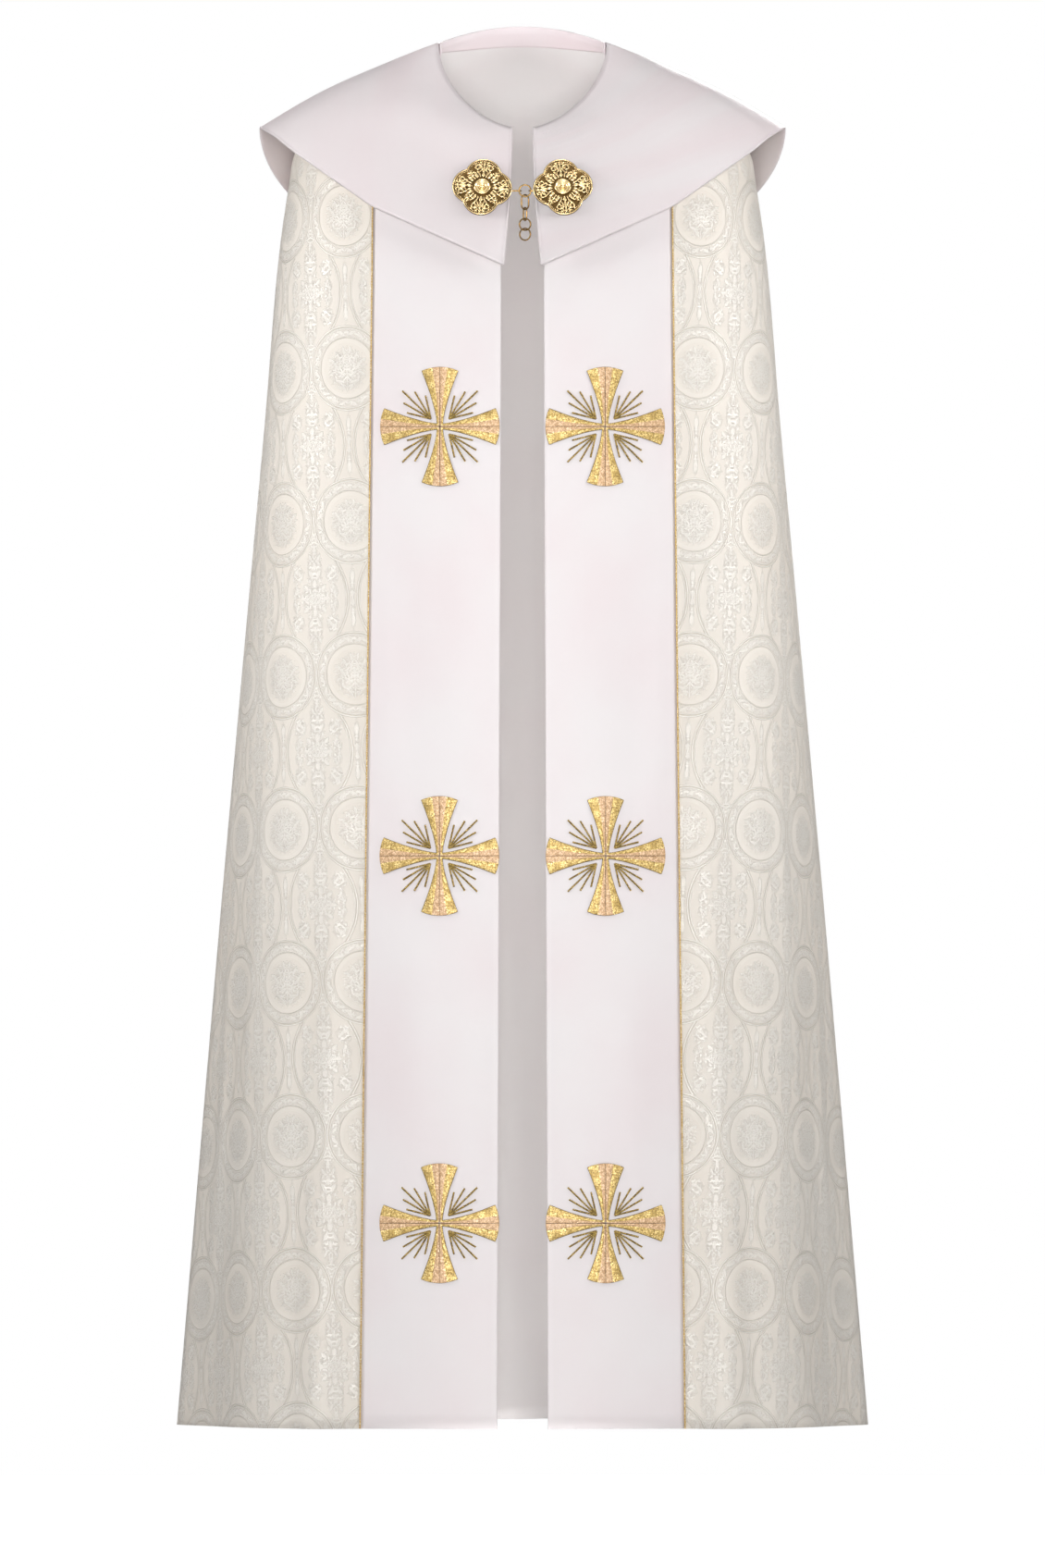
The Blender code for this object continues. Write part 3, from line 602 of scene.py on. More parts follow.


# Its Shade output is a mask of painted shade: dark lines beside the figure's lines.
@effect(
    "Roundel brocade", "Figure Outline Shade Band", Repeat_Across=0.088, Repeat_Along=0.1572,
    Row_Offset=0.0, Lean=0.0, Lean_From=0.0,
)
def figure_group(nodes, start):
    """The brocade's figure: columns of leaf-bordered roundels with bouquets, joined by
    ogee lines, and a rose among petals in each field between them."""
    across, along, _ = nodes.split(start["Vector"])
    step_across, step_along = start["Repeat Across"], start["Repeat Along"]
    columns = (across - (along - start["Lean From"]) * start["Lean"]) / step_across
    rows = (along - start["Row Offset"]) / step_along

    def centred(share, step):
        part = nodes.maths("FRACT", share + 0.5) - 0.5
        return part * step * 1000.0

    first_x, first_y = centred(columns, step_across), centred(rows, step_along)
    second_x, second_y = centred(columns + 0.5, step_across), centred(rows + 0.5, step_along)
    first_r, second_r = nodes.length(first_x, first_y), nodes.length(second_x, second_y)
    is_second = nodes.maths("GREATER_THAN", first_r, ROUNDEL_EDGE)

    def chosen(first, second):
        return first + (second - first) * is_second

    x, y = chosen(first_x, second_x), chosen(first_y, second_y)
    radius = chosen(first_r, second_r)
    angle = nodes.maths("ARCTAN2", y, x)
    side, height = abs(x), abs(y)

    lean = nodes.maths("ARCTAN2", height, side)
    ogee = radius * nodes.maths("COSINE", lean * OGEE_FLATTENING)
    in_reach = nodes.sharp((OGEE_END - lean) * OGEE_REACH, FIGURE_SOFTNESS)
    # The second mask is painted shade: dark lines beside the figure's lines.
    outline, shade = (
        chosen(line_masks(nodes, radius, roundel), line_masks(nodes, ogee, lines) * in_reach)
        for roundel, lines in ((ROUNDEL_LINES, OGEE_LINES), (ROUNDEL_SHADE, OGEE_SHADE))
    )
    band = line_masks(nodes, radius, (ROUNDEL_BAND,)) * (1.0 - is_second)

    turn = angle * (VINE_LEAVES / (2.0 * math.pi))
    tooth = nodes.maths("FRACT", turn) - 0.5
    flip = nodes.maths("MODULO", nodes.maths("FLOOR", turn) + 2.0 * VINE_LEAVES, 2.0)
    tangent = tooth * (2.0 * math.pi * VINE_RADIUS / VINE_LEAVES)
    radial = (radius - VINE_RADIUS) * (flip * 2.0 - 1.0)
    vine = leaf_mask(nodes, tangent, radial, VINE_LEAF)

    flower_y = y - BOUQUET_FLOWER_HEIGHT
    flower_angle = nodes.maths("ARCTAN2", flower_y, x)
    bouquet = rose_mask(nodes, nodes.length(x, flower_y), flower_angle, BOUQUET_PETALS)
    low, high, half = BOUQUET_STEM
    stem = nodes.sharp(half - side, FIGURE_SOFTNESS)
    stem = stem * nodes.sharp(y - low, FIGURE_SOFTNESS) * nodes.sharp(high - y, FIGURE_SOFTNESS)
    bouquet = nodes.most(bouquet, stem, *leaf_masks(nodes, side, y, BOUQUET_LEAVES))
    rose = rose_mask(nodes, radius, angle, ROSE_PETALS)
    rose = nodes.most(rose, *leaf_masks(nodes, side, height, ROSE_LEAVES))

    around_vine = 1.0 - abs(radius - VINE_RADIUS) / VINE_HALF_WIDTH
    in_roundel = nodes.most(spray_fullness(nodes, side, y, BOUQUET_SPRAYS), around_vine)
    full = chosen(in_roundel, spray_fullness(nodes, side, height, ROSE_SPRAYS))
    full = nodes.most(full, 0.0)
    mirrored_place = nodes.join(side, chosen(y, height), is_second * 90.0)
    buds = nodes.noise(mirrored_place, SPRAY_LEAVES, 1.0)
    bare = SPRAY_EDGE - full * (SPRAY_EDGE - SPRAY_MIDDLE)
    leaves = nodes.sharp((buds - bare) * 12.0, 1.2)
    twist = nodes.noise(mirrored_place, SPRAY_TENDRILS, 0.0)
    winding = nodes.maths("FRACT", twist * TENDRIL_TURNS) - 0.5
    tendrils = nodes.sharp((TENDRIL_HALF - abs(winding)) * 6.0, 1.2)
    tendrils = tendrils * nodes.remap(full, 0.10, 0.45, 0.0, 0.6)
    filling = nodes.most(leaves * 0.85, tendrils) * nodes.remap(full, 0.0, 0.08)

    motif = chosen(nodes.most(bouquet, vine), rose)
    motif = nodes.most(motif, filling * (1.0 - motif * 0.6))
    figure = nodes.most(motif, outline)
    return {"Figure": figure, "Outline": outline, "Shade": shade * (1.0 - figure), "Band": band}


# ---------------------------------------------------------------- materials
FIRST_ROUNDEL_HEIGHT = -0.801
# The columns of roundels lean away from the seam towards the shoulder, and one of
# them crosses the seam at this height above the hem.
PATTERN_LEAN, PATTERN_LEAN_FROM = 0.043, 0.453


def toned(colour, *shares):
    """A colour with each of its parts made stronger or weaker."""
    return tuple(part * share for part, share in zip(colour, shares))


def brocade_finish(nodes):
    """Figured silk on a matt ground, which stands up from it and glints."""
    cloth = bpy.context.scene.cope_cloth
    flat = nodes.uv("cut")
    pattern = nodes.group(
        figure_group(), Vector=flat, Repeat_Across=cloth.repeat_across,
        Repeat_Along=cloth.repeat_along, Row_Offset=FIRST_ROUNDEL_HEIGHT - HEM_HEIGHT,
        Lean=PATTERN_LEAN, Lean_From=PATTERN_LEAN_FROM,
    )
    figure, band = pattern["Figure"], pattern["Band"]
    weave = nodes.group(weave_group(), Vector=flat, Thread=0.0011)
    grain = nodes.noise(flat, 1050.0, 1.0)
    silky = figure * 0.90 + band * 0.10 + 0.02
    glint = nodes.remap(grain, 0.54, 0.64) * silky
    ground = nodes.group(
        tone_group(), Vector=flat, Colour=tuple(cloth.brocade_colour),
        Warm_Colour=toned(cloth.brocade_colour, 1.02, 0.99, 0.96), Cloud_Size=0.16, Amount=0.6,
    )
    silk = tuple(cloth.figure_colour)
    colour = nodes.mix(band * 0.12, ground["Colour"], silk)
    # Painted shade: a dark brown painted in the lines beside the figure, where its relief would be
    # shaded.
    colour = nodes.mix(pattern["Shade"] * 0.50, colour, (0.520, 0.460, 0.370))
    height = figure * 0.80 + pattern["Outline"] * 0.15 + band * 0.10
    height = height + weave["Height"] * 0.12 + weave["Slub"] * 0.16 + grain * 0.60 * silky
    return {
        "Base Color": nodes.mix(figure * 0.68, colour, silk),
        "Roughness": 0.52 - figure * 0.17 - glint * 0.06 + (weave["Slub"] - 0.5) * 0.10,
        "Metallic": figure * 0.10 + glint * 0.26, "Specular IOR Level": 0.35,
        "Normal": nodes.bump(height, cloth.figure_relief),
    }


def reverse_finish(nodes):
    """The plain back of the cloth, seen through the front opening."""
    flat = nodes.uv("cut")
    weave = nodes.group(weave_group(), Vector=flat, Thread=0.0009)
    tone = nodes.group(
        tone_group(), Vector=flat, Colour=(0.880, 0.850, 0.840), Warm_Colour=(0.870, 0.820, 0.815),
        Cloud_Size=0.10, Amount=0.7,
    )
    return {
        "Base Color": tone["Colour"], "Roughness": 0.62 + (weave["Slub"] - 0.5) * 0.14,
        "Normal": nodes.bump(weave["Height"] * 0.6 + weave["Slub"] * 0.4, 0.00012),
    }


def satin_finish(nodes, shade, painted_edge_highlight):
    """Satin with long warp floats and a faint pink cast. Each piece's copy is painted lighter (painted
    light) or darker (painted shade) than the satin's own colour, and its turned edges get a painted
    highlight.
    """
    flat = nodes.uv("cut")
    # Painted light and shade: the satin's colour made lighter or darker for this piece.
    colour = toned(bpy.context.scene.cope_cloth.satin_colour, *shade)
    tone = nodes.group(
        tone_group(), Vector=flat, Colour=colour, Warm_Colour=toned(colour, 0.985, 0.925, 0.935),
        Cloud_Size=0.13, Amount=0.75,
    )
    from_edge, _, _ = nodes.split(nodes.uv("edge"))
    # Painted highlight: a lighter colour within 5.5 mm of a free edge, where the rolled edge catches the
    # light.
    turned = nodes.sharp(0.0055 - from_edge, 0.0022) * painted_edge_highlight
    weave = nodes.group(weave_group(), Vector=flat, Thread=0.0008)
    height = weave["Slub"] * 0.4 + weave["Height"] * 0.3 + nodes.noise(flat, 26.0) * 3.0
    return {
        "Base Color": nodes.mix(turned, tone["Colour"], (0.90, 0.865, 0.865)),
        "Roughness": 0.42 + (weave["Slub"] - 0.5) * 0.10, "Specular IOR Level": 0.45,
        "Sheen Weight": 0.04, "Sheen Roughness": 0.40, "Normal": nodes.bump(height, 0.00014),
    }


def piping_finish(nodes):
    """Gold cord with fine flecks of metal."""
    base = toned(bpy.context.scene.cope_gold.thread_colour, 1.15, 1.12, 1.05)
    # The flecks' light colour is a painted glint and their dark colour painted shade.
    flecks = nodes.group(
        glitter_group(), Vector=nodes.place(), Fleck=0.0007, Colour=base,
        Light_Colour=(0.96, 0.82, 0.52), Dark_Colour=(0.46, 0.28, 0.10),
    )
    return {
        "Base Color": flecks["Colour"], "Roughness": flecks["Roughness"], "Metallic": 0.35,
        "Normal": nodes.bump(flecks["Height"], 0.00010),
    }


def thread_finish(nodes, colour, light, dark, metallic, fleck):
    """Embroidery thread, with flecks and the fine lines of its stitches."""
    along = nodes.uv("stitch")
    # light is the colour of the flecks' painted glints, dark that of their painted shade.
    flecks = nodes.group(
        glitter_group(), Vector=along, Fleck=fleck, Colour=colour, Light_Colour=light,
        Dark_Colour=dark,
    )
    weave = nodes.group(weave_group(), Vector=along, Thread=0.0008)
    return {
        "Base Color": flecks["Colour"], "Roughness": flecks["Roughness"], "Metallic": metallic,
        "Normal": nodes.bump(flecks["Height"] * 0.7 + weave["Slub"] * 0.5, 0.00022),
    }


def gilt_finish(nodes, gilt, tarnish, amount, polish, wash_and_shade=None):
    """Gilt metal. Where a dark colour is given, it is painted on the relief's slopes and low places:
    painted shade, with a dark wash in its hollows.
    """
    patina = nodes.group(
        patina_group(), Vector=nodes.place(), Gilt=gilt, Tarnish=tarnish, Amount=amount,
        Polish=polish,
    )
    colour = patina["Colour"]
    if wash_and_shade is not None:
        rubbed, _, _ = nodes.split(nodes.uv("rubbed"))
        # Painted shade and wash: the dark colour on slopes and in low places of the relief.
        colour = nodes.mix(rubbed, wash_and_shade, colour)
    return {
        "Base Color": colour, "Roughness": patina["Roughness"], "Metallic": 1.0,
        "Normal": nodes.bump(patina["Height"], 0.00006),
    }


# ---------------------------------------------------------------- the cloth's form
def smooth_column(rows, column, heights):
    """Reads one column of a table at the given heights, along a smooth curve."""
    known = np.array([row.height for row in rows])[::-1]
    values = np.array([getattr(row, column) for row in rows])[::-1]
    slopes = np.gradient(values, known)
    heights = np.clip(heights, known[0], known[-1])
    index = np.clip(np.searchsorted(known, heights) - 1, 0, len(known) - 2)
    span = known[index + 1] - known[index]
    part = (heights - known[index]) / span
    squared, cubed = part**2, part**3
    return (
        (2 * cubed - 3 * squared + 1) * values[index]
        + (cubed - 2 * squared + part) * span * slopes[index]
        + (3 * squared - 2 * cubed) * values[index + 1]
        + (cubed - squared) * span * slopes[index + 1]
    )


def eased(ease, turn):
    """Blends a side value into the front or back value round the body."""
    facing = np.cos(turn)
    end = np.where(facing > 0, ease.front, ease.back)
    return ease.side + (end - ease.side) * facing**2


def around(turn, half_width, front_depth, back_depth, squareness):
    """The outline point in plan at a turn from the middle of the front."""
    depth = np.where(np.cos(turn) > 0, front_depth, back_depth)
    across = np.abs(np.sin(turn) / half_width) ** squareness
    along = np.abs(np.cos(turn) / depth) ** squareness
    radius = (across + along) ** (-1.0 / squareness)
    return np.stack([-radius * np.sin(turn), -radius * np.cos(turn)], axis=-1)


def section_point(turn, height):
    columns = (smooth_column(SECTIONS, name, height) for name in Section._fields[1:])
    plan = around(turn, *columns)
    return np.concatenate([plan, height[:, None]], axis=1)


def neck_height(side, back, slopes, back_depth):
    """The level of a neck edge: a straight slope in front, an arch behind."""
    front_slope, back_slope = slopes
    return side + np.where(back < 0, front_slope * back, back_slope * back**2 / back_depth)


def neck_point(turn):
    square = np.where(np.cos(turn) > 0, NECK_FRONT_SQUARENESS, 2.0)
    plan = around(turn, NECK_HALF_WIDTH, NECK_FRONT_DEPTH, NECK_BACK_DEPTH, square)
    slopes = NECK_FRONT_SLOPE, NECK_BACK_SLOPE
    height = neck_height(NECK_SIDE_HEIGHT, plan[:, 1], slopes, NECK_BACK_DEPTH)
    return np.concatenate([plan, height[:, None]], axis=1)


def cloth_point(turn, level):
    """A point of the cloth's smooth outside: level 0 is the neck, 1 is the start
    of the fall, 2 is the hem."""
    fall_height = eased(FALL_HEIGHT, turn)
    if level >= 1.0:
        height = fall_height + (HEM_HEIGHT - fall_height) * (level - 1.0)
        return section_point(turn, height)
    start = neck_point(turn)
    corner = section_point(turn, eased(SHELF_HEIGHT, turn))
    end = section_point(turn, fall_height)
    near, middle, far = (1 - level) ** 2, 2 * level * (1 - level), level**2
    return near * start + middle * corner + far * end


def band_edge(height, at_top, at_hem):
    share = (SEAM_TOP_HEIGHT - height) / (SEAM_TOP_HEIGHT - HEM_HEIGHT)
    return at_top + (at_hem - at_top) * share


class Ring:
    """The cloth's outline at one level, measured along its length."""

    def __init__(self, level):
        self.turns = np.linspace(0.0, 2.0 * math.pi, RING_SAMPLES)
        self.points = cloth_point(self.turns, level)
        self.lengths = run_along(self.points, 0)
        self.front_edge = self.mark(level, BAND_INNER_TOP, BAND_INNER_HEM)
        self.seam = self.mark(level, SEAM_TOP, SEAM_HEM)
        self.total = self.lengths[-1]

    def mark(self, level, at_top, at_hem):
        """The length at which the outline reaches a band edge on the left."""
        quarter = RING_SAMPLES // 4
        points = cloth_point(self.turns, max(level, 1.0))[:quarter]
        miss = -points[:, 0] - band_edge(points[:, 2], at_top, at_hem)
        turn = np.interp(0.0, miss, self.turns[:quarter])
        return np.interp(turn, self.turns, self.lengths)

    def at(self, lengths):
        return np.stack([np.interp(lengths, self.lengths, self.points[:, k]) for k in range(3)], axis=1)

    def outward(self, lengths):
        """The level direction straight out of the cloth."""
        step = self.total / RING_SAMPLES
        along = self.at(lengths + step) - self.at(lengths - step)
        normal = np.stack([-along[:, 1], along[:, 0], 0 * along[:, 0]], axis=1)
        return normal / np.linalg.norm(normal, axis=1)[:, None]


def fold_depth(place, height):
    """How far the folds push the brocade out of its smooth form."""
    depth = np.zeros(len(place))
    for fold in FOLDS:
        growth = np.clip((fold.top - height) / (fold.top - HEM_HEIGHT), 0.0, 1.0)
        reach = np.clip((place - fold.place) / fold.half_width, -1.0, 1.0)
        depth += fold.depth * growth**FOLD_GROWTH * np.cos(reach * math.pi / 2) ** 2
    return depth


def crease_depth(creases, place, height):
    """How far the soft creases lift the cloth at places and heights."""
    depth = np.zeros(np.broadcast(place, height).shape)
    for crease in creases:
        drift = crease.lean * (crease.height - height)
        across = (place - crease.place - drift) / crease.half_width
        along = (height - crease.height) / crease.half_height
        inside = np.clip(1.0 - across**2 - along**2, 0.0, 1.0)
        depth += crease.depth * inside**2
    return depth


def fall_levels():
    """Levels from the start of the fall to the hem, closer at the top."""
    return [1.0 + (k / FALL_ROWS) ** 1.1 for k in range(FALL_ROWS + 1)]


def fine_rings():
    shoulder = [k / SHOULDER_ROWS for k in range(SHOULDER_ROWS)]
    return [Ring(level) for level in shoulder + fall_levels()]


# ---------------------------------------------------------------- mesh helpers
def placed(name, data):
    """A new object at the origin that shows a mesh, a lamp or a camera."""
    thing = bpy.data.objects.new(name, data)
    bpy.context.scene.collection.objects.link(thing)
    return thing


def shaped(name, shape, *materials):
    """A new object from a finished bmesh."""
    mesh = bpy.data.meshes.new(name)
    shape.to_mesh(mesh)
    shape.free()
    for finish in materials:
        mesh.materials.append(finish)
    return placed(name, mesh)


def face_outwards(shape):
    bmesh.ops.recalc_face_normals(shape, faces=shape.faces[:])


def run_along(rows, axis):
    """The length run so far at each point of rows of points."""
    steps = np.linalg.norm(np.diff(rows, axis=axis), axis=-1)
    start = np.zeros_like(np.take(steps, [0], axis=axis))
    return np.concatenate([start, np.cumsum(steps, axis=axis)], axis=axis)


def sheet_object(name, rows, layers, materials):
    """An object through rows of points that run round the wearer, and its area.
    layers gives each UV map as rows of pairs."""
    count, width = len(rows), len(rows[0])
    points = np.asarray(rows, dtype=float).reshape(-1, 3)
    index = np.arange(count * width).reshape(count, width)
    corners = [index[:-1, :-1], index[:-1, 1:], index[1:, 1:], index[1:, :-1]]
    quads = np.stack(corners, axis=-1).reshape(-1, 4)
    mesh = bpy.data.meshes.new(name)
    mesh.from_pydata(points.tolist(), [], quads.tolist())
    for title, pairs in layers.items():
        layer = mesh.uv_layers.new(name=title)
        values = np.asarray(pairs, dtype=float).reshape(-1, 2)[quads.reshape(-1)]
        layer.data.foreach_set("uv", values.reshape(-1))
    mesh.shade_smooth()
    mesh.update()
    for finish in materials:
        mesh.materials.append(finish)
    return placed(name, mesh), float(sum(face.area for face in mesh.polygons))


def add_wall(thing, thickness):
    """Gives an open sheet its thickness, behind its face."""
    wall = thing.modifiers.new("wall", "SOLIDIFY")
    wall.thickness = thickness
    wall.offset = -1.0
    return wall


def add_cloth_wall(thing, thickness):
    """Gives a sheet of cloth its thickness; its second material goes behind."""
    wall = add_wall(thing, thickness)
    wall.use_even_offset = True
    wall.material_offset = 1
    wall.material_offset_rim = 0


def made_plain(thing):
    """Turns an object with modifiers into one with a plain mesh at the origin."""
    graph = bpy.context.evaluated_depsgraph_get()
    mesh = bpy.data.meshes.new_from_object(thing.evaluated_get(graph))
    name = thing.name
    bpy.data.objects.remove(thing, do_unlink=True)
    mesh.name = name
    return placed(name, mesh)


def joined(name, things):
    """One mesh object from several, whose places go into the mesh."""
    shape = bmesh.new()
    materials = []
    for thing in things:
        part = thing.data
        first = len(shape.faces)
        part.transform(thing.matrix_world)
        shape.from_mesh(part)
        shape.faces.ensure_lookup_table()
        for finish in part.materials:
            if finish not in materials:
                materials.append(finish)
        slots = [materials.index(finish) for finish in part.materials]
        for face in shape.faces[first:]:
            face.material_index = slots[min(face.material_index, len(slots) - 1)]
    for thing in things:
        bpy.data.objects.remove(thing, do_unlink=True)
    return shaped(name, shape, *materials)


def copied(pattern, name):
    """A copy of a flat pattern under a new name."""
    mesh = pattern.data.copy()
    mesh.name = name
    return placed(name, mesh)


def path_object(name, paths, closed=False):
    """An object that holds only paths, each a row of points."""
    points, edges = [], []
    for path in paths:
        first = len(points)
        points += [tuple(p) for p in path]
        edges += [(k, k + 1) for k in range(first, len(points) - 1)]
        if closed:
            edges.append((len(points) - 1, first))
    mesh = bpy.data.meshes.new(name)
    mesh.from_pydata(points, edges, [])
    return placed(name, mesh)


def turned_angles(count, first=0.0):
    """Evenly spaced angles round a circle, the first one a share of a step on."""
    return [2 * math.pi * (k + first) / count for k in range(count)]


def stacked(name, loops, finish):
    """A closed solid through loops of points, from the foot to the top; a last loop
    of one point closes in a tip."""
    shape = bmesh.new()
    loops = [[shape.verts.new(point) for point in loop] for loop in loops]
    for lower, upper in zip(loops, loops[1:]):
        for k in range(len(lower)):
            n = (k + 1) % len(lower)
            over = [upper[0]] if len(upper) == 1 else [upper[n], upper[k]]
            shape.faces.new([lower[k], lower[n], *over]).smooth = True
    if len(loops[-1]) > 1:
        shape.faces.new(loops[-1])
    shape.faces.new(list(reversed(loops[0])))
    face_outwards(shape)
    return shaped(name, shape, finish)


# ---------------------------------------------------------------- geometry nodes
def grower(title, **inputs):
    """A geometry tree; its function gives the geometry that it ends in, which is made
    real and gets its material."""

    def keep(fill):
        def whole(nodes, start):
            real = {"Geometry": fill(nodes, start)}
            real = nodes.out("GeometryNodeRealizeInstances", "Geometry", real)
            painted = {"Geometry": real, "Material": start["Material"]}
            return {"Geometry": nodes.out("GeometryNodeSetMaterial", "Geometry", painted)}

        kinds = {"Geometry": "Geometry", **inputs, "Material": "Material"}
        return node_tree(title, "GeometryNodeTree", {"Geometry": "Geometry"}, **kinds)(whole)

    return keep


def geometry(nodes, kind, output, inputs=None, **settings):
    """Adds a geometry node, whose kind is named without its usual beginning."""
    return nodes.out(f"GeometryNode{kind}", output, inputs, **settings)


@grower(
    "Cord along a path", Radius=0.001, Strands=2.0, Strand_Depth=0.0, Turn_Length=0.006, Step=0.001,
    Sides=12, Taper=0.0,
)
def cord_tree(nodes, start):
    """A cord, wire or thread along paths: strands twisted about each other, thin at
    the ends where it tapers."""
    curve = geometry(nodes, "MeshToCurve", "Curve", {"Mesh": start["Geometry"]})
    even = {"Curve": curve, "Length": start["Step"]}
    even = geometry(nodes, "ResampleCurve", "Curve", even, mode="LENGTH")
    along = nodes.add("GeometryNodeSplineParameter")
    length = Number(nodes, along.outputs["Length"])
    share = Number(nodes, along.outputs["Factor"])
    tilt = length / start["Turn Length"] * (2.0 * math.pi)
    tilted = geometry(nodes, "SetCurveTilt", "Curve", {"Curve": even, "Tilt": tilt})
    thin = 1.0 - start["Taper"] * (1.0 - share)
    sized = geometry(nodes, "SetCurveRadius", "Curve", {"Curve": tilted, "Radius": thin})
    ring = {"Resolution": start["Sides"], "Radius": start["Radius"]}
    ring = geometry(nodes, "CurvePrimitiveCircle", "Curve", ring)
    x, y, _ = nodes.split(geometry(nodes, "InputPosition", "Position"))
    angle = nodes.maths("ARCTAN2", y, x) * start["Strands"]
    dent = start["Strand Depth"] * (nodes.maths("COSINE", angle) * 0.5 - 0.5)
    place = nodes.join(x * (dent + 1.0), y * (dent + 1.0), 0.0)
    lobed = geometry(nodes, "SetPosition", "Geometry", {"Geometry": ring, "Position": place})
    body = {"Curve": sized, "Profile Curve": lobed, "Fill Caps": True}
    body = geometry(nodes, "CurveToMesh", "Mesh", body)
    return geometry(nodes, "SetShadeSmooth", "Geometry", {"Geometry": body})


@grower("Beads along a path", Radius=0.0004, Spacing=0.0014)
def bead_tree(nodes, start):
    """A row of beads along paths."""
    curve = geometry(nodes, "MeshToCurve", "Curve", {"Mesh": start["Geometry"]})
    places = {"Curve": curve, "Length": start["Spacing"]}
    places = geometry(nodes, "CurveToPoints", "Points", places, mode="LENGTH")
    bead = {"Segments": 8, "Rings": 6, "Radius": start["Radius"]}
    bead = geometry(nodes, "MeshUVSphere", "Mesh", bead)
    bead = geometry(nodes, "SetShadeSmooth", "Geometry", {"Geometry": bead})
    return geometry(nodes, "InstanceOnPoints", "Instances", {"Points": places, "Instance": bead})


@grower("Motif round an axis", Count=4, First_Angle=0.0)
def wheel_tree(nodes, start):
    """Copies of a motif set round the Z axis like spokes."""
    hub = {"Count": start["Count"], "Offset": (0.0, 0.0, 0.0)}
    hub = geometry(nodes, "MeshLine", "Mesh", hub)
    number = geometry(nodes, "InputIndex", "Index")
    angle = number / start["Count"] * (2.0 * math.pi) + start["First Angle"]
    turn = nodes.join(0.0, 0.0, angle)
    copies = {"Points": hub, "Instance": start["Geometry"], "Rotation": turn}
    return geometry(nodes, "InstanceOnPoints", "Instances", copies)


def grown(thing, tree, **inputs):
    """Runs a geometry tree on an object and keeps the result as a plain mesh."""
    modifier = thing.modifiers.new(tree.name, "NODES")
    modifier.node_group = tree
    sockets = {
        item.name: item.identifier
        for item in tree.interface.items_tree
        if item.item_type == "SOCKET" and item.in_out == "INPUT"
    }
    for name, value in inputs.items():
        modifier[sockets[name.replace("_", " ")]] = value
    return made_plain(thing)


def cord(name, paths, closed=False, **inputs):
    """Cords along paths."""
    return grown(path_object(name, paths, closed), cord_tree(), **inputs)


# ---------------------------------------------------------------- parts hidden, pieces hung on their body
def declare(piece, slot, *nodes):
    """Hides the model's parts that a piece stands for and hangs the piece on the body it rides; slot, its
    finish, is not used.
    """
    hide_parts(*nodes)
    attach(piece, BODY)


def declare_sheet(piece, area, slot, node, flat, **lie):
    """Hides the model's part that a piece of cloth stands for and hangs it on its body; area, flat and
    lie are not used.
    """
    declare(piece, slot, node)


SIDES = (("left", 1.0), ("right", -1.0))


# ---------------------------------------------------------------- brocade
def brocade_cut(rows):
    """The flat cut of the brocade: each half is a sector of a ring that runs from the
    front seam to the middle of the back, upright at the seam."""
    run = run_along(rows, 1)
    half = run[:, -1] / 2.0
    down = run_along(rows[:, 0], 0)
    length = down[-1]
    start = SHOULDER_ROWS
    opening = (half[-1] - half[start]) / (length - down[start])
    hem_radius = half[-1] / opening
    rise = rows[:, :, 2] - rows[:, :1, 2]
    rise[:start] = rise[start]
    up = (length - down)[:, None] + rise
    radius = np.maximum(hem_radius - up, 0.05)
    angle = np.minimum(run, run[:, -1:] - run) / radius
    flat = np.stack([radius * np.sin(angle), hem_radius - radius * np.cos(angle)], axis=2)
    width = 2.0 * float(np.max(flat[:, :, 0]))
    height = float(np.max(flat[:, :, 1]) - np.min(flat[:, :, 1]))
    return flat, (width, height)


class COPE_OT_brocade(bpy.types.Operator):
    """Makes the jacquard brocade body with its folds"""

    bl_idname = "cope.brocade"
    bl_label = "Brocade body"

    def execute(self, context):
        rows = []
        for ring in fine_rings():
            start = ring.seam + SEAM_GAP / 2
            lengths = np.linspace(start, ring.total - start, BROCADE_COLUMNS + 1)
            points = ring.at(lengths)
            place = (lengths - ring.seam) / (ring.total - 2 * ring.seam)
            depth = fold_depth(place, points[:, 2])
            depth += crease_depth(BROCADE_CREASES, place, points[:, 2])
            rows.append(points + ring.outward(lengths) * depth[:, None])
        rows = np.array(rows)
        flat, size = brocade_cut(rows)
        finishes = (
            material("ivory_brocade_figured", brocade_finish),
            material("ivory_cloth_reverse", reverse_finish),
        )
        body, area = sheet_object("brocade_cloth", rows, {"cut": flat}, finishes)
        add_cloth_wall(body, BROCADE_WALL)
        declare_sheet(body, area, "ivory_brocade", "brocade_body", size)
        return {"FINISHED"}


# ---------------------------------------------------------------- bands
def band_face(across, height):
    """Points of the left band's outside below the shoulder, with their normals."""

    def depth_at(distance, level):
        half_width, front, square = (
            smooth_column(SECTIONS, name, level)
            for name in ("half_width", "front_depth", "squareness")
        )
        face = -front * (1.0 - (distance / half_width) ** square) ** (1.0 / square)
        return face - crease_depth(BAND_CREASES, distance, level)

    step = 0.001
    rise_across = depth_at(across + step, height) - depth_at(across - step, height)
    rise_up = depth_at(across, height + step) - depth_at(across, height - step)
    points = np.stack([-across, depth_at(across, height), height], axis=-1)
    normals = np.stack([-rise_across, -2 * step + 0 * across, rise_up], axis=-1)
    return points, normals / np.linalg.norm(normals, axis=-1)[..., None]


def rolled(distance):
    """How far a turned edge falls back at a distance from the edge."""
    inside = np.clip(1.0 - distance / ROLLED_EDGE, 0.0, 1.0)
    return BAND_WALL * 0.5 * (1.0 - np.sqrt(1.0 - inside**2))


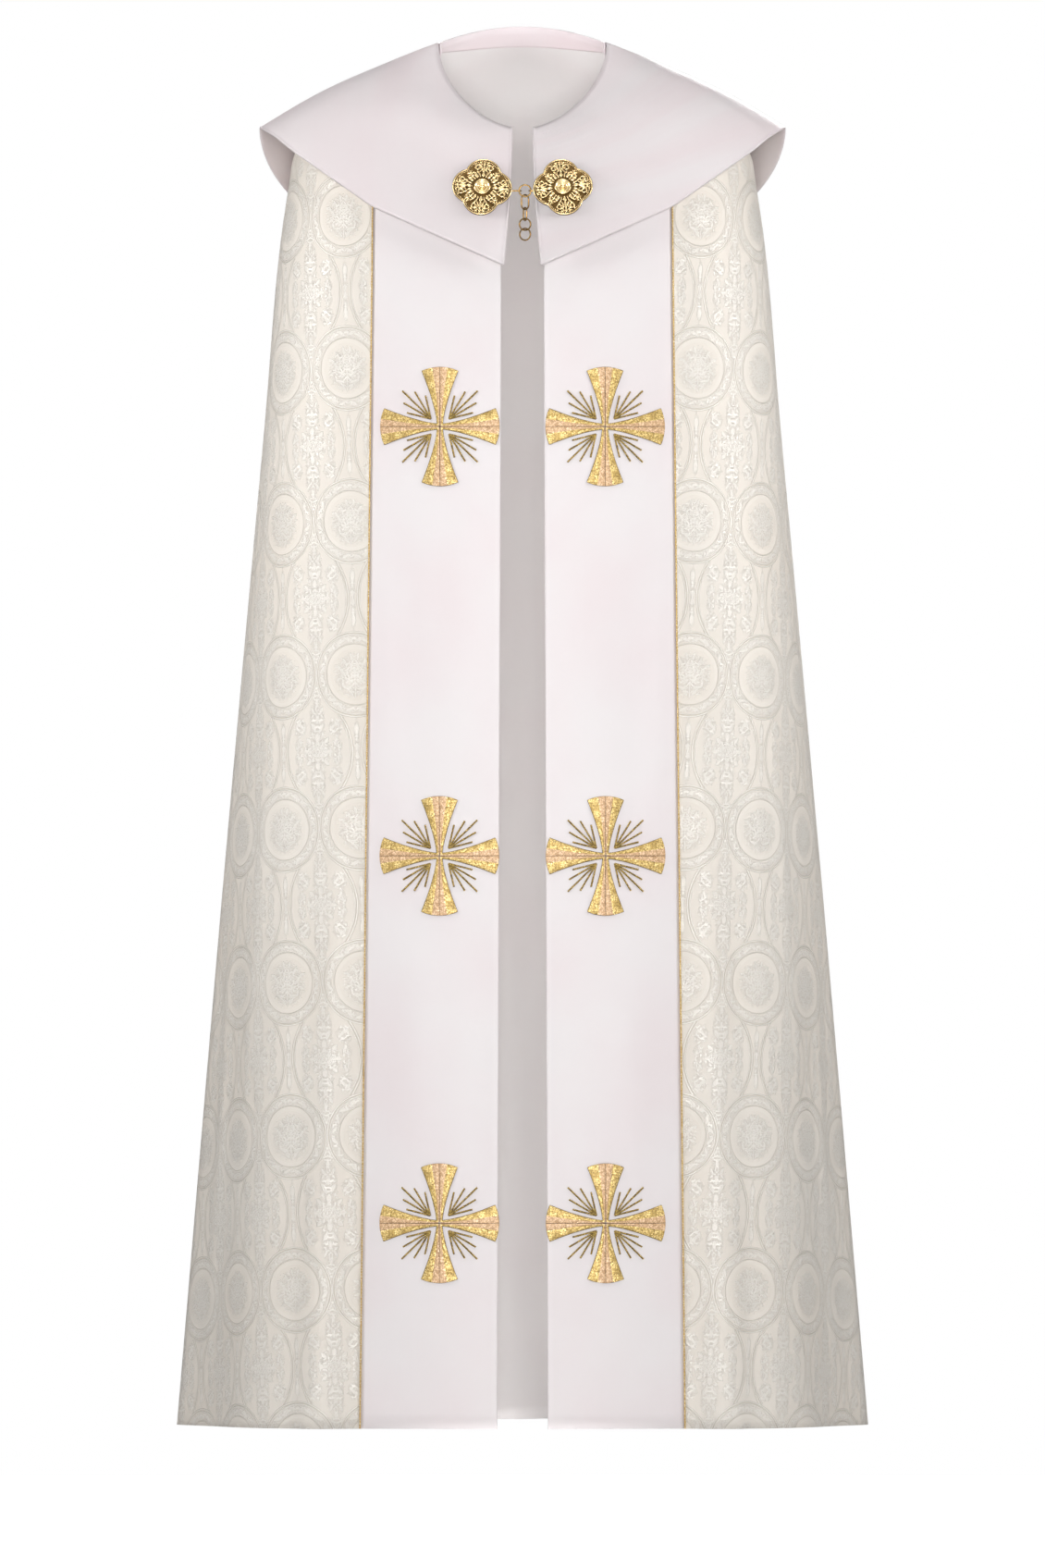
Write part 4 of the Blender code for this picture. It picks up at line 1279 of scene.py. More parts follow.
def band_rows():
    """Rows of the left band, with UV maps of the flat cut and of the distance from
    the nearest free edge."""
    edge_shares = [0.0, 0.004, 0.008, 0.012, 0.018]
    body_shares = list(np.linspace(0.03, 1.0, BAND_COLUMNS - len(edge_shares) + 1))
    shares = np.array(edge_shares + body_shares)
    rows, across, up = [], [], []
    for ring in fine_rings():
        lengths = ring.front_edge + (ring.seam - SEAM_GAP / 2 - ring.front_edge) * shares
        points = ring.at(lengths)
        from_front = lengths - ring.front_edge
        from_hem = points[:, 2] - HEM_HEIGHT
        lift = crease_depth(BAND_CREASES, -points[:, 0], points[:, 2])
        lift = lift - rolled(from_front) - rolled(from_hem)
        rows.append(points + ring.outward(lengths) * lift[:, None])
        across.append(from_front)
        up.append(from_hem)
    rows, across, up = np.array(rows), np.array(across), np.array(up)
    down = np.broadcast_to(run_along(rows[:, 0], 0)[:, None], across.shape)
    nearest = np.minimum(across, np.maximum(up, 0.0))
    return rows, np.stack([across, -down], axis=2), np.stack([nearest, down], axis=2)


def mirrored(rows, *layers):
    """Rows and their UV maps on the other side of the front."""
    other = rows[:, ::-1].copy()
    other[:, :, 0] *= -1.0
    return [other] + [layer[:, ::-1] for layer in layers]


class COPE_OT_front_bands(bpy.types.Operator):
    """Makes the two satin front bands"""

    bl_idname = "cope.front_bands"
    bl_label = "Front bands"

    def execute(self, context):
        left = band_rows()
        size = float(np.max(left[1][:, :, 0])), float(-np.min(left[1][:, :, 1]))
        finishes = (
            # Painted light: the bands' copy of the satin is a little lighter than its own colour, and its
            # turned edges get a painted highlight.
            material("white_satin_band", satin_finish, (1.040, 1.045, 1.040), 0.10),
            material("ivory_cloth_reverse", reverse_finish),
        )
        for side, (rows, cut, edge) in (("left", left), ("right", mirrored(*left))):
            layers = {"cut": cut, "edge": edge}
            band, area = sheet_object(f"satin_band_{side}", rows, layers, finishes)
            add_cloth_wall(band, BAND_WALL)
            declare_sheet(band, area, "white_satin", f"front_band_{side}", size)
        return {"FINISHED"}


# ---------------------------------------------------------------- collar
def collar_neck(angle):
    """The collar's neck edge; the angle runs from the front round the left."""
    in_front = math.cos(angle) > 0
    depth = COLLAR_NECK_FRONT if in_front else COLLAR_NECK_BACK
    power = 2.0 / (NECK_FRONT_SQUARENESS if in_front else 2.0)
    side = math.copysign(abs(math.sin(angle)) ** power, math.sin(angle))
    front = math.copysign(abs(math.cos(angle)) ** power, math.cos(angle))
    across, back = -COLLAR_NECK_HALF_WIDTH * side, -depth * front
    slopes = COLLAR_NECK_FRONT_SLOPE, COLLAR_NECK_BACK_SLOPE
    height = neck_height(COLLAR_NECK_SIDE_HEIGHT, back, slopes, COLLAR_NECK_BACK)
    return Vector((across, back, float(height)))


def collar_front_edge(angle):
    across = COLLAR_TIP * math.sin(angle)
    rows = sorted(COLLAR_FRONT_EDGE)
    height = np.interp(across, [r.across for r in rows], [r.height for r in rows])
    return Vector((-across, -COLLAR_FRONT_DEPTH * math.cos(angle), height))


def collar_back_edge(angle):
    across = -COLLAR_TIP * math.sin(angle)
    back = -math.cos(angle)
    height = COLLAR_TIP_HEIGHT - COLLAR_BACK_DROP * back
    return Vector((across, COLLAR_BACK_DEPTH * back, height))


def crowned(start, end, crown, part):
    """A point between two others on a line that bows up and outwards."""
    chord = end - start
    level = Vector((chord.x, chord.y, 0.0))
    bow = Vector((-chord.z * level.x, -chord.z * level.y, level.length**2))
    return start.lerp(end, part) + bow.normalized() * crown * 4 * part * (1 - part)


def collar_column(share, parts):
    """One column of the collar; share 0 is the left front edge, 1 is the left
    shoulder, 2 is the middle of the back."""
    right_angle = math.pi / 2
    if share <= 1.0:
        gap_share = COLLAR_NECK_GAP_HALF / COLLAR_NECK_HALF_WIDTH
        neck_start = math.asin(gap_share ** (NECK_FRONT_SQUARENESS / 2.0))
        edge_start = math.asin(COLLAR_FRONT_EDGE[0].across / COLLAR_TIP)
        neck_angle = neck_start + (right_angle - neck_start) * share
        edge = collar_front_edge(edge_start + (right_angle - edge_start) * share)
    else:
        neck_angle = right_angle * share
        edge = collar_back_edge(neck_angle)
    corner = COLLAR_FRONT_CORNER_CROWN if share <= 1.0 else COLLAR_BACK_CORNER_CROWN
    crown = float(eased(COLLAR_CROWN, np.array(neck_angle)))
    crown += corner * abs(math.sin(2 * neck_angle))
    column = []
    for part in parts:
        point = crowned(collar_neck(neck_angle), edge, crown, part)
        point.x += CENTRE_EDGE_SWELL * math.sin(math.pi * part) * max(0.0, 1 - 3 * share)
        column.append(point)
    return column


def collar_grid():
    """Rows of the collar's outside from the neck to the outer edge."""
    front = [0.0, 0.0012, 0.0028, 0.005, 0.009]
    front += list(np.linspace(0.018, 1.0, COLLAR_FRONT_COLUMNS - len(front))[:-1])
    half_back = COLLAR_BACK_COLUMNS // 2
    shares = front + [1.0 + k / half_back for k in range(half_back + 1)]
    edge = [1.0, 0.997, 0.993, 0.988, 0.98]
    body = list(np.linspace(0.0, 0.965, COLLAR_ROWS + 1 - len(edge)))
    parts = body + sorted(edge)
    left = [collar_column(share, parts) for share in shares]
    right = [[Vector((-p.x, p.y, p.z)) for p in column] for column in reversed(left[:-1])]
    columns = np.array([[tuple(p) for p in column] for column in left + right])
    return columns.transpose(1, 0, 2), np.array(parts)


def collar_lifted(rows, parts):
    """The collar with its creases and rolled edges, and its UV maps."""
    run, down = run_along(rows, 1), run_along(rows, 0)
    place = run[-1] / run[-1, -1]
    from_outer = down[-1] - down
    from_front = np.minimum(run, run[:, -1:] - run)
    nearest = np.minimum(from_outer, np.minimum(from_front, down))
    normal = np.cross(np.gradient(rows, axis=0), np.gradient(rows, axis=1))
    normal /= np.linalg.norm(normal, axis=2)[:, :, None]
    lift = crease_depth(COLLAR_CREASES, place[None, :], parts[:, None])
    lift = lift - rolled(np.minimum(from_outer, from_front))
    rows = rows + normal * lift[:, :, None]
    return rows, np.stack([run, -down], axis=2), np.stack([nearest, run], axis=2)


def collar_cut(cut):
    """The size of the collar's flat cut, a broad crescent: halfway between its neck
    edge and its outer edge in length, and from one to the other at its deepest."""
    return float(cut[0, -1, 0] + cut[-1, -1, 0]) / 2.0, float(-np.min(cut[:, :, 1]))


def facing_rows():
    """Rows of the satin facing inside the neck, from the collar's edge down the back
    of the cloth, with UV maps of its cut and of the distance from its free edge."""
    shares = np.linspace(-1.0, 1.0, FACING_COLUMNS + 1)
    width = FACING_WIDTH * (1.0 - 0.25 * np.abs(shares) ** 3)
    rim = np.array([tuple(collar_neck(math.pi + share * FACING_TURN)) for share in shares])
    rim[:, :2] *= 1.0 - FACING_INSET / COLLAR_NECK_HALF_WIDTH
    turns = np.arctan2(-rim[:, 0], -rim[:, 1])
    levels = np.linspace(0.0, FACING_LEVEL, FACING_ROWS)
    cloth = np.array([cloth_point(turns, level) for level in levels])
    inward = (BROCADE_WALL + 2.0 * FACING_WALL) / np.linalg.norm(cloth[:, :, :2], axis=2)
    cloth[:, :, :2] *= 1.0 - inward[:, :, None]
    cloth[:, :, 2] -= FACING_WALL
    rows = np.concatenate([rim[None], cloth])
    down = run_along(rows, 0)
    parts = np.linspace(0.0, 1.0, FACING_ROWS + 1)
    trimmed = np.empty_like(rows)
    for column in range(len(shares)):
        wanted = parts * min(width[column], down[-1, column])
        for axis in range(3):
            trimmed[:, column, axis] = np.interp(wanted, down[:, column], rows[:, column, axis])
    depth = parts[:, None] * width[None, :]
    run = np.broadcast_to(run_along(rim, 0)[None, :], depth.shape)
    layers = np.stack([run, -depth], axis=2), np.stack([width[None, :] - depth, run], axis=2)
    return [grid[:, ::-1] for grid in (trimmed, *layers)]


class COPE_OT_collar(bpy.types.Operator):
    """Makes the wide satin shoulder collar and its facing inside the neck"""

    bl_idname = "cope.collar"
    bl_label = "Collar"

    def execute(self, context):
        rows, cut, edge = collar_lifted(*collar_grid())
        finishes = (
            # Painted shade: the collar's copy of the satin is a little darker than its own colour, and
            # its under side is darker still.
            material("white_satin_collar", satin_finish, (0.970, 0.960, 0.960), 0.0),
            material("white_satin_collar_under", satin_finish, (0.930, 0.905, 0.900), 0.0),
        )
        layers = {"cut": cut, "edge": edge}
        collar, area = sheet_object("satin_collar", rows, layers, finishes)
        add_cloth_wall(collar, COLLAR_WALL)
        size = collar_cut(cut)
        declare_sheet(collar, area, "white_satin", "collar", size, rests_on=["brocade_cloth"])
        rows, cut, edge = facing_rows()
        # Painted light: the facing's copy of the satin is much lighter than its own colour, to brighten
        # it inside the neck where it lies in shade.
        finish = material("white_satin_facing", satin_finish, (1.190, 1.150, 1.160), 0.0)
        facing, _ = sheet_object("neck_facing", rows, {"cut": cut, "edge": edge}, [finish])
        add_cloth_wall(facing, FACING_WALL)
        declare(facing, "white_satin")
        return {"FINISHED"}


# ---------------------------------------------------------------- piping
class COPE_OT_pipings(bpy.types.Operator):
    """Makes the twisted gold cord along each front seam"""

    bl_idname = "cope.pipings"
    bl_label = "Pipings"

    def execute(self, context):
        rings = [Ring(level) for level in [*PIPING_TOP_LEVELS, *fall_levels()]]
        seam, beside = (
            [Vector(ring.at(np.array([ring.seam + aside]))[0]) for ring in rings]
            for aside in (0.0, 0.002)
        )
        left = []
        for k in range(len(rings)):
            lower = min(k + 1, len(rings) - 1)
            down = seam[lower] - seam[max(lower - 2, 0)]
            out = (beside[k] - seam[k]).cross(down).normalized()
            left.append(seam[k] + out * (PIPING_RADIUS + SEAM_GAP))
        gold = material("gold_piping_cord", piping_finish)
        turn = context.scene.cope_gold.cord_turn
        for side, flip in SIDES:
            points = [(flip * p.x, p.y, p.z) for p in left]
            piping = cord(
                f"twisted_piping_{side}", [points], Radius=PIPING_RADIUS, Strand_Depth=0.30,
                Turn_Length=turn * flip, Step=0.0008, Material=gold,
            )
            declare(piping, "gold_thread", f"piping_{side}")
        return {"FINISHED"}


# ---------------------------------------------------------------- crosses
def quarter_turn(quarter):
    return Matrix.Rotation(quarter * math.pi / 2, 4, "Z")


def arm_point(part, edge):
    """A flat point of the arm that points to +X, from the waist (part 0) to the end
    (part 1), between its two sides (edge -1 and 1)."""
    reach = CROSS_ARM - CROSS_END_ARC * edge**2
    distance = CROSS_WAIST * 0.4 + (reach - CROSS_WAIST * 0.4) * part
    half = CROSS_WAIST + (CROSS_END - CROSS_WAIST) * part**CROSS_FLARE
    return distance, half * edge


def arm_lift(part, edge):
    """The padded height of the satin stitch, with grooves beside the wedge."""
    crown = math.sqrt(max(0.0, 1.0 - abs(edge) ** 3.0))
    lift = ARM_LIFT + ARM_CROWN * crown * (0.55 + 0.45 * part)
    for groove in (-WEDGE_SHARE, 0.0, WEDGE_SHARE):
        lift -= ARM_GROOVE * max(0.0, 1.0 - abs(edge - groove) / ARM_GROOVE_HALF)
    return lift


def arm_object(quarter, materials):
    """One arm of a cross, flat and padded, turned by quarters."""
    shares = np.round(np.linspace(-1.0, 1.0, ARM_COLUMNS + 1), 4).tolist()
    edges = sorted(set(shares) | {-WEDGE_SHARE, WEDGE_SHARE})
    shape = bmesh.new()
    stitch = shape.loops.layers.uv.new("stitch")
    turn = quarter_turn(quarter)
    flat = {}
    top, foot = [], []
    for part in np.linspace(0.0, 1.0, ARM_ROWS + 1):
        line, low = [], []
        for edge in edges:
            x, y = arm_point(part, edge)
            for row, lift in ((line, arm_lift(part, edge)), (low, 0.0)):
                row.append(shape.verts.new(turn @ Vector((x, y, lift))))
                flat[row[-1]] = (x, y)
        top.append(line)
        foot.append(low)
    last = len(edges) - 1
    face = shape.faces.new
    for k in range(ARM_ROWS):
        near, far, near_foot, far_foot = top[k], top[k + 1], foot[k], foot[k + 1]
        for j in range(last):
            upper = face((near[j], far[j], far[j + 1], near[j + 1]))
            middle = (edges[j] + edges[j + 1]) / 2
            upper.material_index = 1 if abs(middle) < WEDGE_SHARE else 0
            upper.smooth = True
            face((near_foot[j], near_foot[j + 1], far_foot[j + 1], far_foot[j]))
        face((near_foot[0], far_foot[0], far[0], near[0]))
        face((near[last], far[last], far_foot[last], near_foot[last]))
    for j in range(last):
        face((foot[0][j], top[0][j], top[0][j + 1], foot[0][j + 1]))
        face((top[-1][j], foot[-1][j], foot[-1][j + 1], top[-1][j + 1]))
    for side in shape.faces:
        for loop in side.loops:
            loop[stitch].uv = flat[loop.vert]
    face_outwards(shape)
    return shaped("cross_arm", shape, *materials)


def stitch_map(thing):
    """Gives a grown cord the UV map that the thread materials read."""
    layer = thing.data.uv_layers.get("stitch") or thing.data.uv_layers.new(name="stitch")
    for loop in thing.data.loops:
        layer.data[loop.index].uv = thing.data.vertices[loop.vertex_index].co[:2]


def cross_outline():
    """Paths along the sides, the end and the wedge of each arm."""
    paths = []
    shares = [k / 26 for k in range(27)]
    low, high = ARM_LIFT * 0.7, ARM_LIFT + ARM_CROWN * 0.62
    for quarter in range(4):
        side = [(part, -1.0, low) for part in shares]
        end = [(1.0, -1.0 + 2.0 * k / 16, low) for k in range(1, 16)]
        other = [(part, 1.0, low) for part in reversed(shares)]
        middle = [(part, 0.0, high) for part in shares]
        turn = quarter_turn(quarter)
        outer, inner = (
            [turn @ Vector((*arm_point(part, edge), lift)) for part, edge, lift in path]
            for path in (side + end + other, middle)
        )
        paths += [outer, [Vector((0.0, 0.0, high)), *inner]]
    return paths


def cross_rays():
    paths = []
    for flip_x, flip_y in ((1.0, 1.0), (1.0, -1.0), (-1.0, 1.0), (-1.0, -1.0)):
        for tip_x, tip_y in RAY_TIPS:
            start = Vector((flip_x * RAY_START[0], flip_y * RAY_START[1], RAY_RADIUS * 0.4))
            tip = Vector((flip_x * tip_x, flip_y * tip_y, RAY_RADIUS * 0.4))
            paths.append([start.lerp(tip, k / 12) for k in range(13)])
    return paths


def cross_pieces():
    """The parts of one flat cross, in its own plane."""
    gold = bpy.context.scene.cope_gold

    def thread(name, colour, *looks):
        return material(name, thread_finish, tuple(colour), *looks)

    # In each thread, the second colour is the flecks' painted glint and the third their painted shade.
    golden = thread(
        "gold_thread_fill", gold.thread_colour, (0.93, 0.74, 0.34), (0.17, 0.10, 0.03), 0.45, 0.0011
    )
    peach = thread(
        "peach_thread_fill", gold.wedge_colour, (0.90, 0.68, 0.46), (0.36, 0.20, 0.09), 0.20, 0.0011
    )
    brown = thread(
        "brown_outline_thread", (0.130, 0.075, 0.030), (0.300, 0.185, 0.070), (0.055, 0.030, 0.012), 0.10,
        0.0008,
    )
    olive = thread(
        "old_gold_ray_thread", (0.270, 0.172, 0.032), (0.760, 0.540, 0.160), (0.060, 0.036, 0.010), 0.30,
        0.0008,
    )
    outline = cord(
        "cross_outline", cross_outline(), Radius=OUTLINE_RADIUS, Strand_Depth=0.35,
        Turn_Length=OUTLINE_TURN, Step=0.0006, Sides=6, Material=brown,
    )
    rays = cord(
        "cross_rays", cross_rays(), Radius=RAY_RADIUS, Strand_Depth=0.15, Turn_Length=0.0030,
        Step=0.0008, Sides=8, Taper=0.45, Material=olive,
    )
    for vertex in rays.data.vertices:
        vertex.co.z *= RAY_FLATNESS
    stitch_map(outline)
    stitch_map(rays)
    arms = [arm_object(quarter, (golden, peach)) for quarter in range(4)]
    return [*arms, outline, rays]


class COPE_OT_crosses(bpy.types.Operator):
    """Makes the six embroidered crosses on the front bands"""

    bl_idname = "cope.crosses"
    bl_label = "Embroidered crosses"

    def execute(self, context):
        pattern = joined("cross_pattern", cross_pieces())
        flat = np.array([tuple(vertex.co) for vertex in pattern.data.vertices])
        for place, height in CROSS_HEIGHTS.items():
            across = CROSS_ACROSS_TOP if place == "top" else CROSS_ACROSS_LOWER
            for side, flip in SIDES:
                points, normals = band_face(across - flat[:, 0] * flip, height + flat[:, 1])
                points = points + normals * (SEAM_GAP + flat[:, 2:3])
                points[:, 0] *= flip
                cross = copied(pattern, f"embroidered_cross_{side}_{place}")
                cross.data.vertices.foreach_set("co", points.reshape(-1))
                cross.data.update()
                declare(cross, "gold_thread", f"cross_{side}_{place}")
        bpy.data.objects.remove(pattern, do_unlink=True)
        return {"FINISHED"}


# ---------------------------------------------------------------- medallions
def lobed_radius(angle, reach):
    """The plate's radius: four round lobes at the rim, a circle near the boss."""
    turn = math.remainder(angle, math.pi / 2)
    lobe_radius = 1.0 - LOBE_OFFSET
    lobe = LOBE_OFFSET * math.cos(turn)
    lobe += math.sqrt(lobe_radius**2 - (LOBE_OFFSET * math.sin(turn)) ** 2)
    return MEDALLION_RADIUS * reach * (1.0 + (lobe - 1.0) * reach)


def lobed_path(reach, height, points):
    path = []
    for angle in turned_angles(points):
        radius = lobed_radius(angle, reach)
        path.append((radius * math.cos(angle), radius * math.sin(angle), height))
    return path


# The pierced plate's dark ground, a thin lobed dish with a raised rim: the share of
# its reach and the height, from the foot to the top.
PLATE_PROFILE = (
    (1.000, 0.0000), (1.000, 0.0014), (0.985, 0.0022), (0.965, 0.0022), (0.950, 0.0012),
    (0.800, 0.0009), (0.600, 0.0012), (0.400, 0.0012),
)
# The boss in the middle: radius and height, from the foot to the tip.
BOSS_PROFILE = (
    (0.0082, 0.0010), (0.0085, 0.0026), (0.0085, 0.0038), (0.0081, 0.0046), (0.0075, 0.0049),
    (0.0069, 0.0046), (0.0064, 0.0039), (0.0058, 0.0035), (0.0052, 0.0035), (0.0047, 0.0038),
    (0.0042, 0.0036), (0.0035, 0.0029), (0.0027, 0.0024), (0.0023, 0.0025), (0.0021, 0.0034),
    (0.0017, 0.0043), (0.0010, 0.0049), (0.0000, 0.0051),
)
# A scroll of the openwork, in a lobe that points to +X: where its eye is, the angle
# at which its tail leaves, how many turns it makes, and its radii, in millimetres.
Scroll = namedtuple("Scroll", "along aside start turns outer inner height")
SCROLLS = rows_of(
    Scroll, (20.6, 6.2, 200.0, 1.35, 4.9, 1.0, 2.6), (13.9, 10.6, 30.0, 1.15, 3.4, 0.9, 2.5),
    (25.2, 4.4, 110.0, 0.85, 2.7, 0.9, 2.7),
)
# Leaves of the openwork: middle, angle, half length, half width and height.
Blade = namedtuple("Blade", "along aside angle half_length half_width height")
BLADES = rows_of(
    Blade, (20.0, 0.0, 0.0, 5.2, 1.80, 3.2), (21.0, 3.2, 24.0, 3.8, 1.30, 2.8),
    (25.6, 0.0, 0.0, 2.2, 1.70, 3.3), (15.6, 5.2, 38.0, 3.2, 1.40, 2.7),
    (23.6, 8.8, 62.0, 2.8, 1.20, 2.5), (15.2, 13.2, 52.0, 2.8, 1.30, 2.4),
)
PETAL = Blade(14.0, 0.0, 0.0, 3.4, 1.90, 4.2)
SMALL_PETAL = Blade(13.4, 0.0, 0.0, 2.7, 1.10, 3.4)
PETALS = 12
# Where the rim's wire and its row of beads run: the share of the plate's reach, and
# the height.
RIM_LINE, BEAD_LINE = (0.985, 0.0024), (0.915, 0.0021)
SCROLL_WIRE, RIM_WIRE = 0.00092, 0.00090
BEAD_RADIUS, BEAD_SPACING = 0.00074, 0.0019
# The dark colour of the medallions' wash in the hollows and of their painted shade.
GILT_WASH_AND_SHADE = (0.270, 0.160, 0.050)
# The gilt stays bright where it is level and stands high, in metres above its plate; it takes painted
# shade where it slopes, and a dark wash with painted shade where it lies low.
LEVEL_FREE_OF_SHADE = (0.20, 0.70)
HEIGHT_FREE_OF_WASH_AND_SHADE = (0.0008, 0.0024)


def scroll_path(scroll, side):
    points = []
    steps = int(26 * scroll.turns)
    for k in range(steps + 1):
        part = k / steps
        angle = math.radians(scroll.start) + 2 * math.pi * scroll.turns * part
        radius = scroll.outer + (scroll.inner - scroll.outer) * part**0.8
        along = scroll.along + radius * math.cos(angle)
        aside = side * (scroll.aside + radius * math.sin(angle))
        points.append((along * MM, aside * MM, (scroll.height - 0.5 * part) * MM))
    return points


def blade_object(blades, finish):
    """Small domed leaves, in the lobe that points to +X."""
    shape = bmesh.new()
    for blade, side in blades:
        middle = Vector((blade.along, blade.aside, 0.0))
        turn = Matrix.Rotation(math.radians(blade.angle), 3, "Z")
        rows = []
        for along in np.linspace(-1.0, 1.0, 9):
            half = blade.half_width * math.sqrt(max(0.0, 1.0 - along**2)) * (1.0 - 0.25 * along)
            line = []
            for aside in np.linspace(-1.0, 1.0, 5):
                crease = 0.25 if aside == 0.0 else 0.0
                rise = blade.height - 0.9 * aside**2 - 0.35 * along**2 - crease
                flat = Vector((along * blade.half_length, aside * half, 0.0))
                flat.rotate(turn)
                place = (middle + flat) * MM
                line.append(shape.verts.new((place.x, side * place.y, rise * MM)))
            rows.append(line)
        for near, far in zip(rows, rows[1:]):
            for j in range(4):
                shape.faces.new((near[j], far[j], far[j + 1], near[j + 1])).smooth = True
    bmesh.ops.remove_doubles(shape, verts=shape.verts[:], dist=0.00002)
    face_outwards(shape)
    for face in shape.faces:
        face.normal_update()
    flipped = [face for face in shape.faces if face.normal.z < 0]
    bmesh.ops.reverse_faces(shape, faces=flipped)
    thing = shaped("blades", shape, finish)
    add_wall(thing, 0.0006)
    return made_plain(thing)


def boss_loop(radius, height, spokes=48):
    if radius == 0.0:
        return [(0.0, 0.0, height)]
    return [(radius * math.cos(a), radius * math.sin(a), height) for a in turned_angles(spokes)]


def paint_wash_and_shade(thing):
    """Writes into a UV map how far each point of a flat medallion keeps its bright gilt: slopes get
    painted shade, low places a dark wash in the hollows and painted shade.
    """
    layer = thing.data.uv_layers.new(name="rubbed")
    shares = []
    for vertex in thing.data.vertices:
        share = 1.0
        for value, (low, high) in ((vertex.normal.z, LEVEL_FREE_OF_SHADE), (vertex.co.z, HEIGHT_FREE_OF_WASH_AND_SHADE)):
            share *= min(1.0, max(0.0, (value - low) / (high - low)))
        shares.append(share)
    for loop in thing.data.loops:
        layer.data[loop.index].uv = (shares[loop.vertex_index], 0.0)


def medallion_pieces():
    """The parts of one medallion, lying flat with its middle at the origin."""
    tone = tuple(bpy.context.scene.cope_gold.gilt_colour)
    # Its dark colour is painted on slopes and in low places: painted shade, with a dark wash in the
    # hollows.
    gilt = material("gilt_bright", gilt_finish, tone, (0.50, 0.30, 0.10), 0.25, 0.18, GILT_WASH_AND_SHADE)
    dark = material("gilt_recess", gilt_finish, (0.200, 0.120, 0.042), (0.080, 0.045, 0.015), 0.8, 0.38)

    def wheel(thing, count, first=0.0):
        return grown(thing, wheel_tree(), Count=count, First_Angle=first, Material=gilt)

    plate = stacked("plate", [lobed_path(*loop, 128) for loop in PLATE_PROFILE], dark)
    rim = [lobed_path(*RIM_LINE, 160)]
    rim = cord("rim", rim, True, Radius=RIM_WIRE, Step=0.0008, Sides=8, Material=gilt)
    beads = path_object("rim_beads", [lobed_path(*BEAD_LINE, 160)], True)
    beads = grown(beads, bead_tree(), Radius=BEAD_RADIUS, Spacing=BEAD_SPACING, Material=gilt)
    scrolls = [scroll_path(s, side) for s in SCROLLS for side in (1.0, -1.0)]
    scrolls = cord("scrolls", scrolls, Radius=SCROLL_WIRE, Step=0.0005, Sides=8, Material=gilt)
    pairs = [(b, side) for b in BLADES for side in ((1.0, -1.0) if b.aside else (1.0,))]
    large, small = (blade_object([(petal, 1.0)], gilt) for petal in (PETAL, SMALL_PETAL))
    return [
        plate, rim, beads, wheel(scrolls, 4), wheel(blade_object(pairs, gilt), 4),
        wheel(large, PETALS), wheel(small, PETALS, math.pi / PETALS),
        stacked("boss", [boss_loop(*loop) for loop in BOSS_PROFILE], gilt),
    ]


def collar_face(across, height):
    """The collar's smooth outside straight in front of a place on the left."""
    parts = [k / 28 for k in range(29)]
    columns = [collar_column(k / 48, parts) for k in range(49)]
    best = None
    for near, far in zip(columns, columns[1:]):
        for k in range(len(parts) - 1):
            corner = near[k]
            miss = math.hypot(corner.x + across, corner.z - height)
            if best is None or miss < best[0]:
                normal = (near[k + 1] - corner).cross(far[k] - corner).normalized()
                best = (miss, corner, normal)
    _, corner, normal = best
    if normal.y > 0:
        normal = -normal
    reach = (corner - Vector((-across, 0.0, height))).dot(normal) / normal.y
    return Vector((-across, reach, height)), normal


class COPE_OT_medallions(bpy.types.Operator):
    """Makes the two filigree medallions of the clasp"""

    bl_idname = "cope.medallions"
    bl_label = "Clasp medallions"

    def execute(self, context):
        pattern = joined("medallion_pattern", medallion_pieces())
        # Marks where the gilt is painted with shade and with its wash.
        paint_wash_and_shade(pattern)
        point, normal = collar_face(MEDALLION_ACROSS, MEDALLION_HEIGHT)
        for side, flip in SIDES:
            out = Vector((flip * normal.x, normal.y, normal.z))
            up = out.cross(Vector((1.0, 0.0, 0.0))).normalized()
            across = up.cross(out).normalized()
            stand = Matrix((across, up, out)).transposed().to_4x4()
            place = Vector((flip * point.x, point.y, point.z)) + out * MEDALLION_LIFT
            turn = Matrix.Rotation(-MEDALLION_TURNS[side], 4, "Z")
            piece = copied(pattern, f"filigree_medallion_{side}")
            piece.data.transform(Matrix.Translation(place) @ stand @ turn)
            declare(piece, "gold_metal", f"medallion_{side}")
        bpy.data.objects.remove(pattern, do_unlink=True)
        return {"FINISHED"}


# ---------------------------------------------------------------- chain
def link_path(length, radius, turn, height, points=40):
    """Points of an oval link that hangs upright, turned about its length."""
    straight = length / 2 - radius
    path = []
    for angle in turned_angles(points, 0.5):
        out = radius * math.cos(angle)
        up = radius * math.sin(angle) + math.copysign(straight, math.sin(angle))
        across, back = CHAIN_ACROSS + out * math.cos(turn), CHAIN_DEPTH + out * math.sin(turn)
        path.append((across, back, height + up))
    return path


def hook_path(side, start, tip):
    """Points of a narrow level loop, from a medallion round the ring's wire."""
    bend = tip - side * LOOP_HALF
    path = [(start, -LOOP_HALF)]
    for k in range(13):
        angle = -math.pi / 2 + math.pi * k / 12
        path.append((bend + side * LOOP_HALF * math.cos(angle), LOOP_HALF * math.sin(angle)))
    path.append((start, LOOP_HALF))
    return [(across, CHAIN_DEPTH + back, CLASP_RING_HEIGHT) for across, back in path]


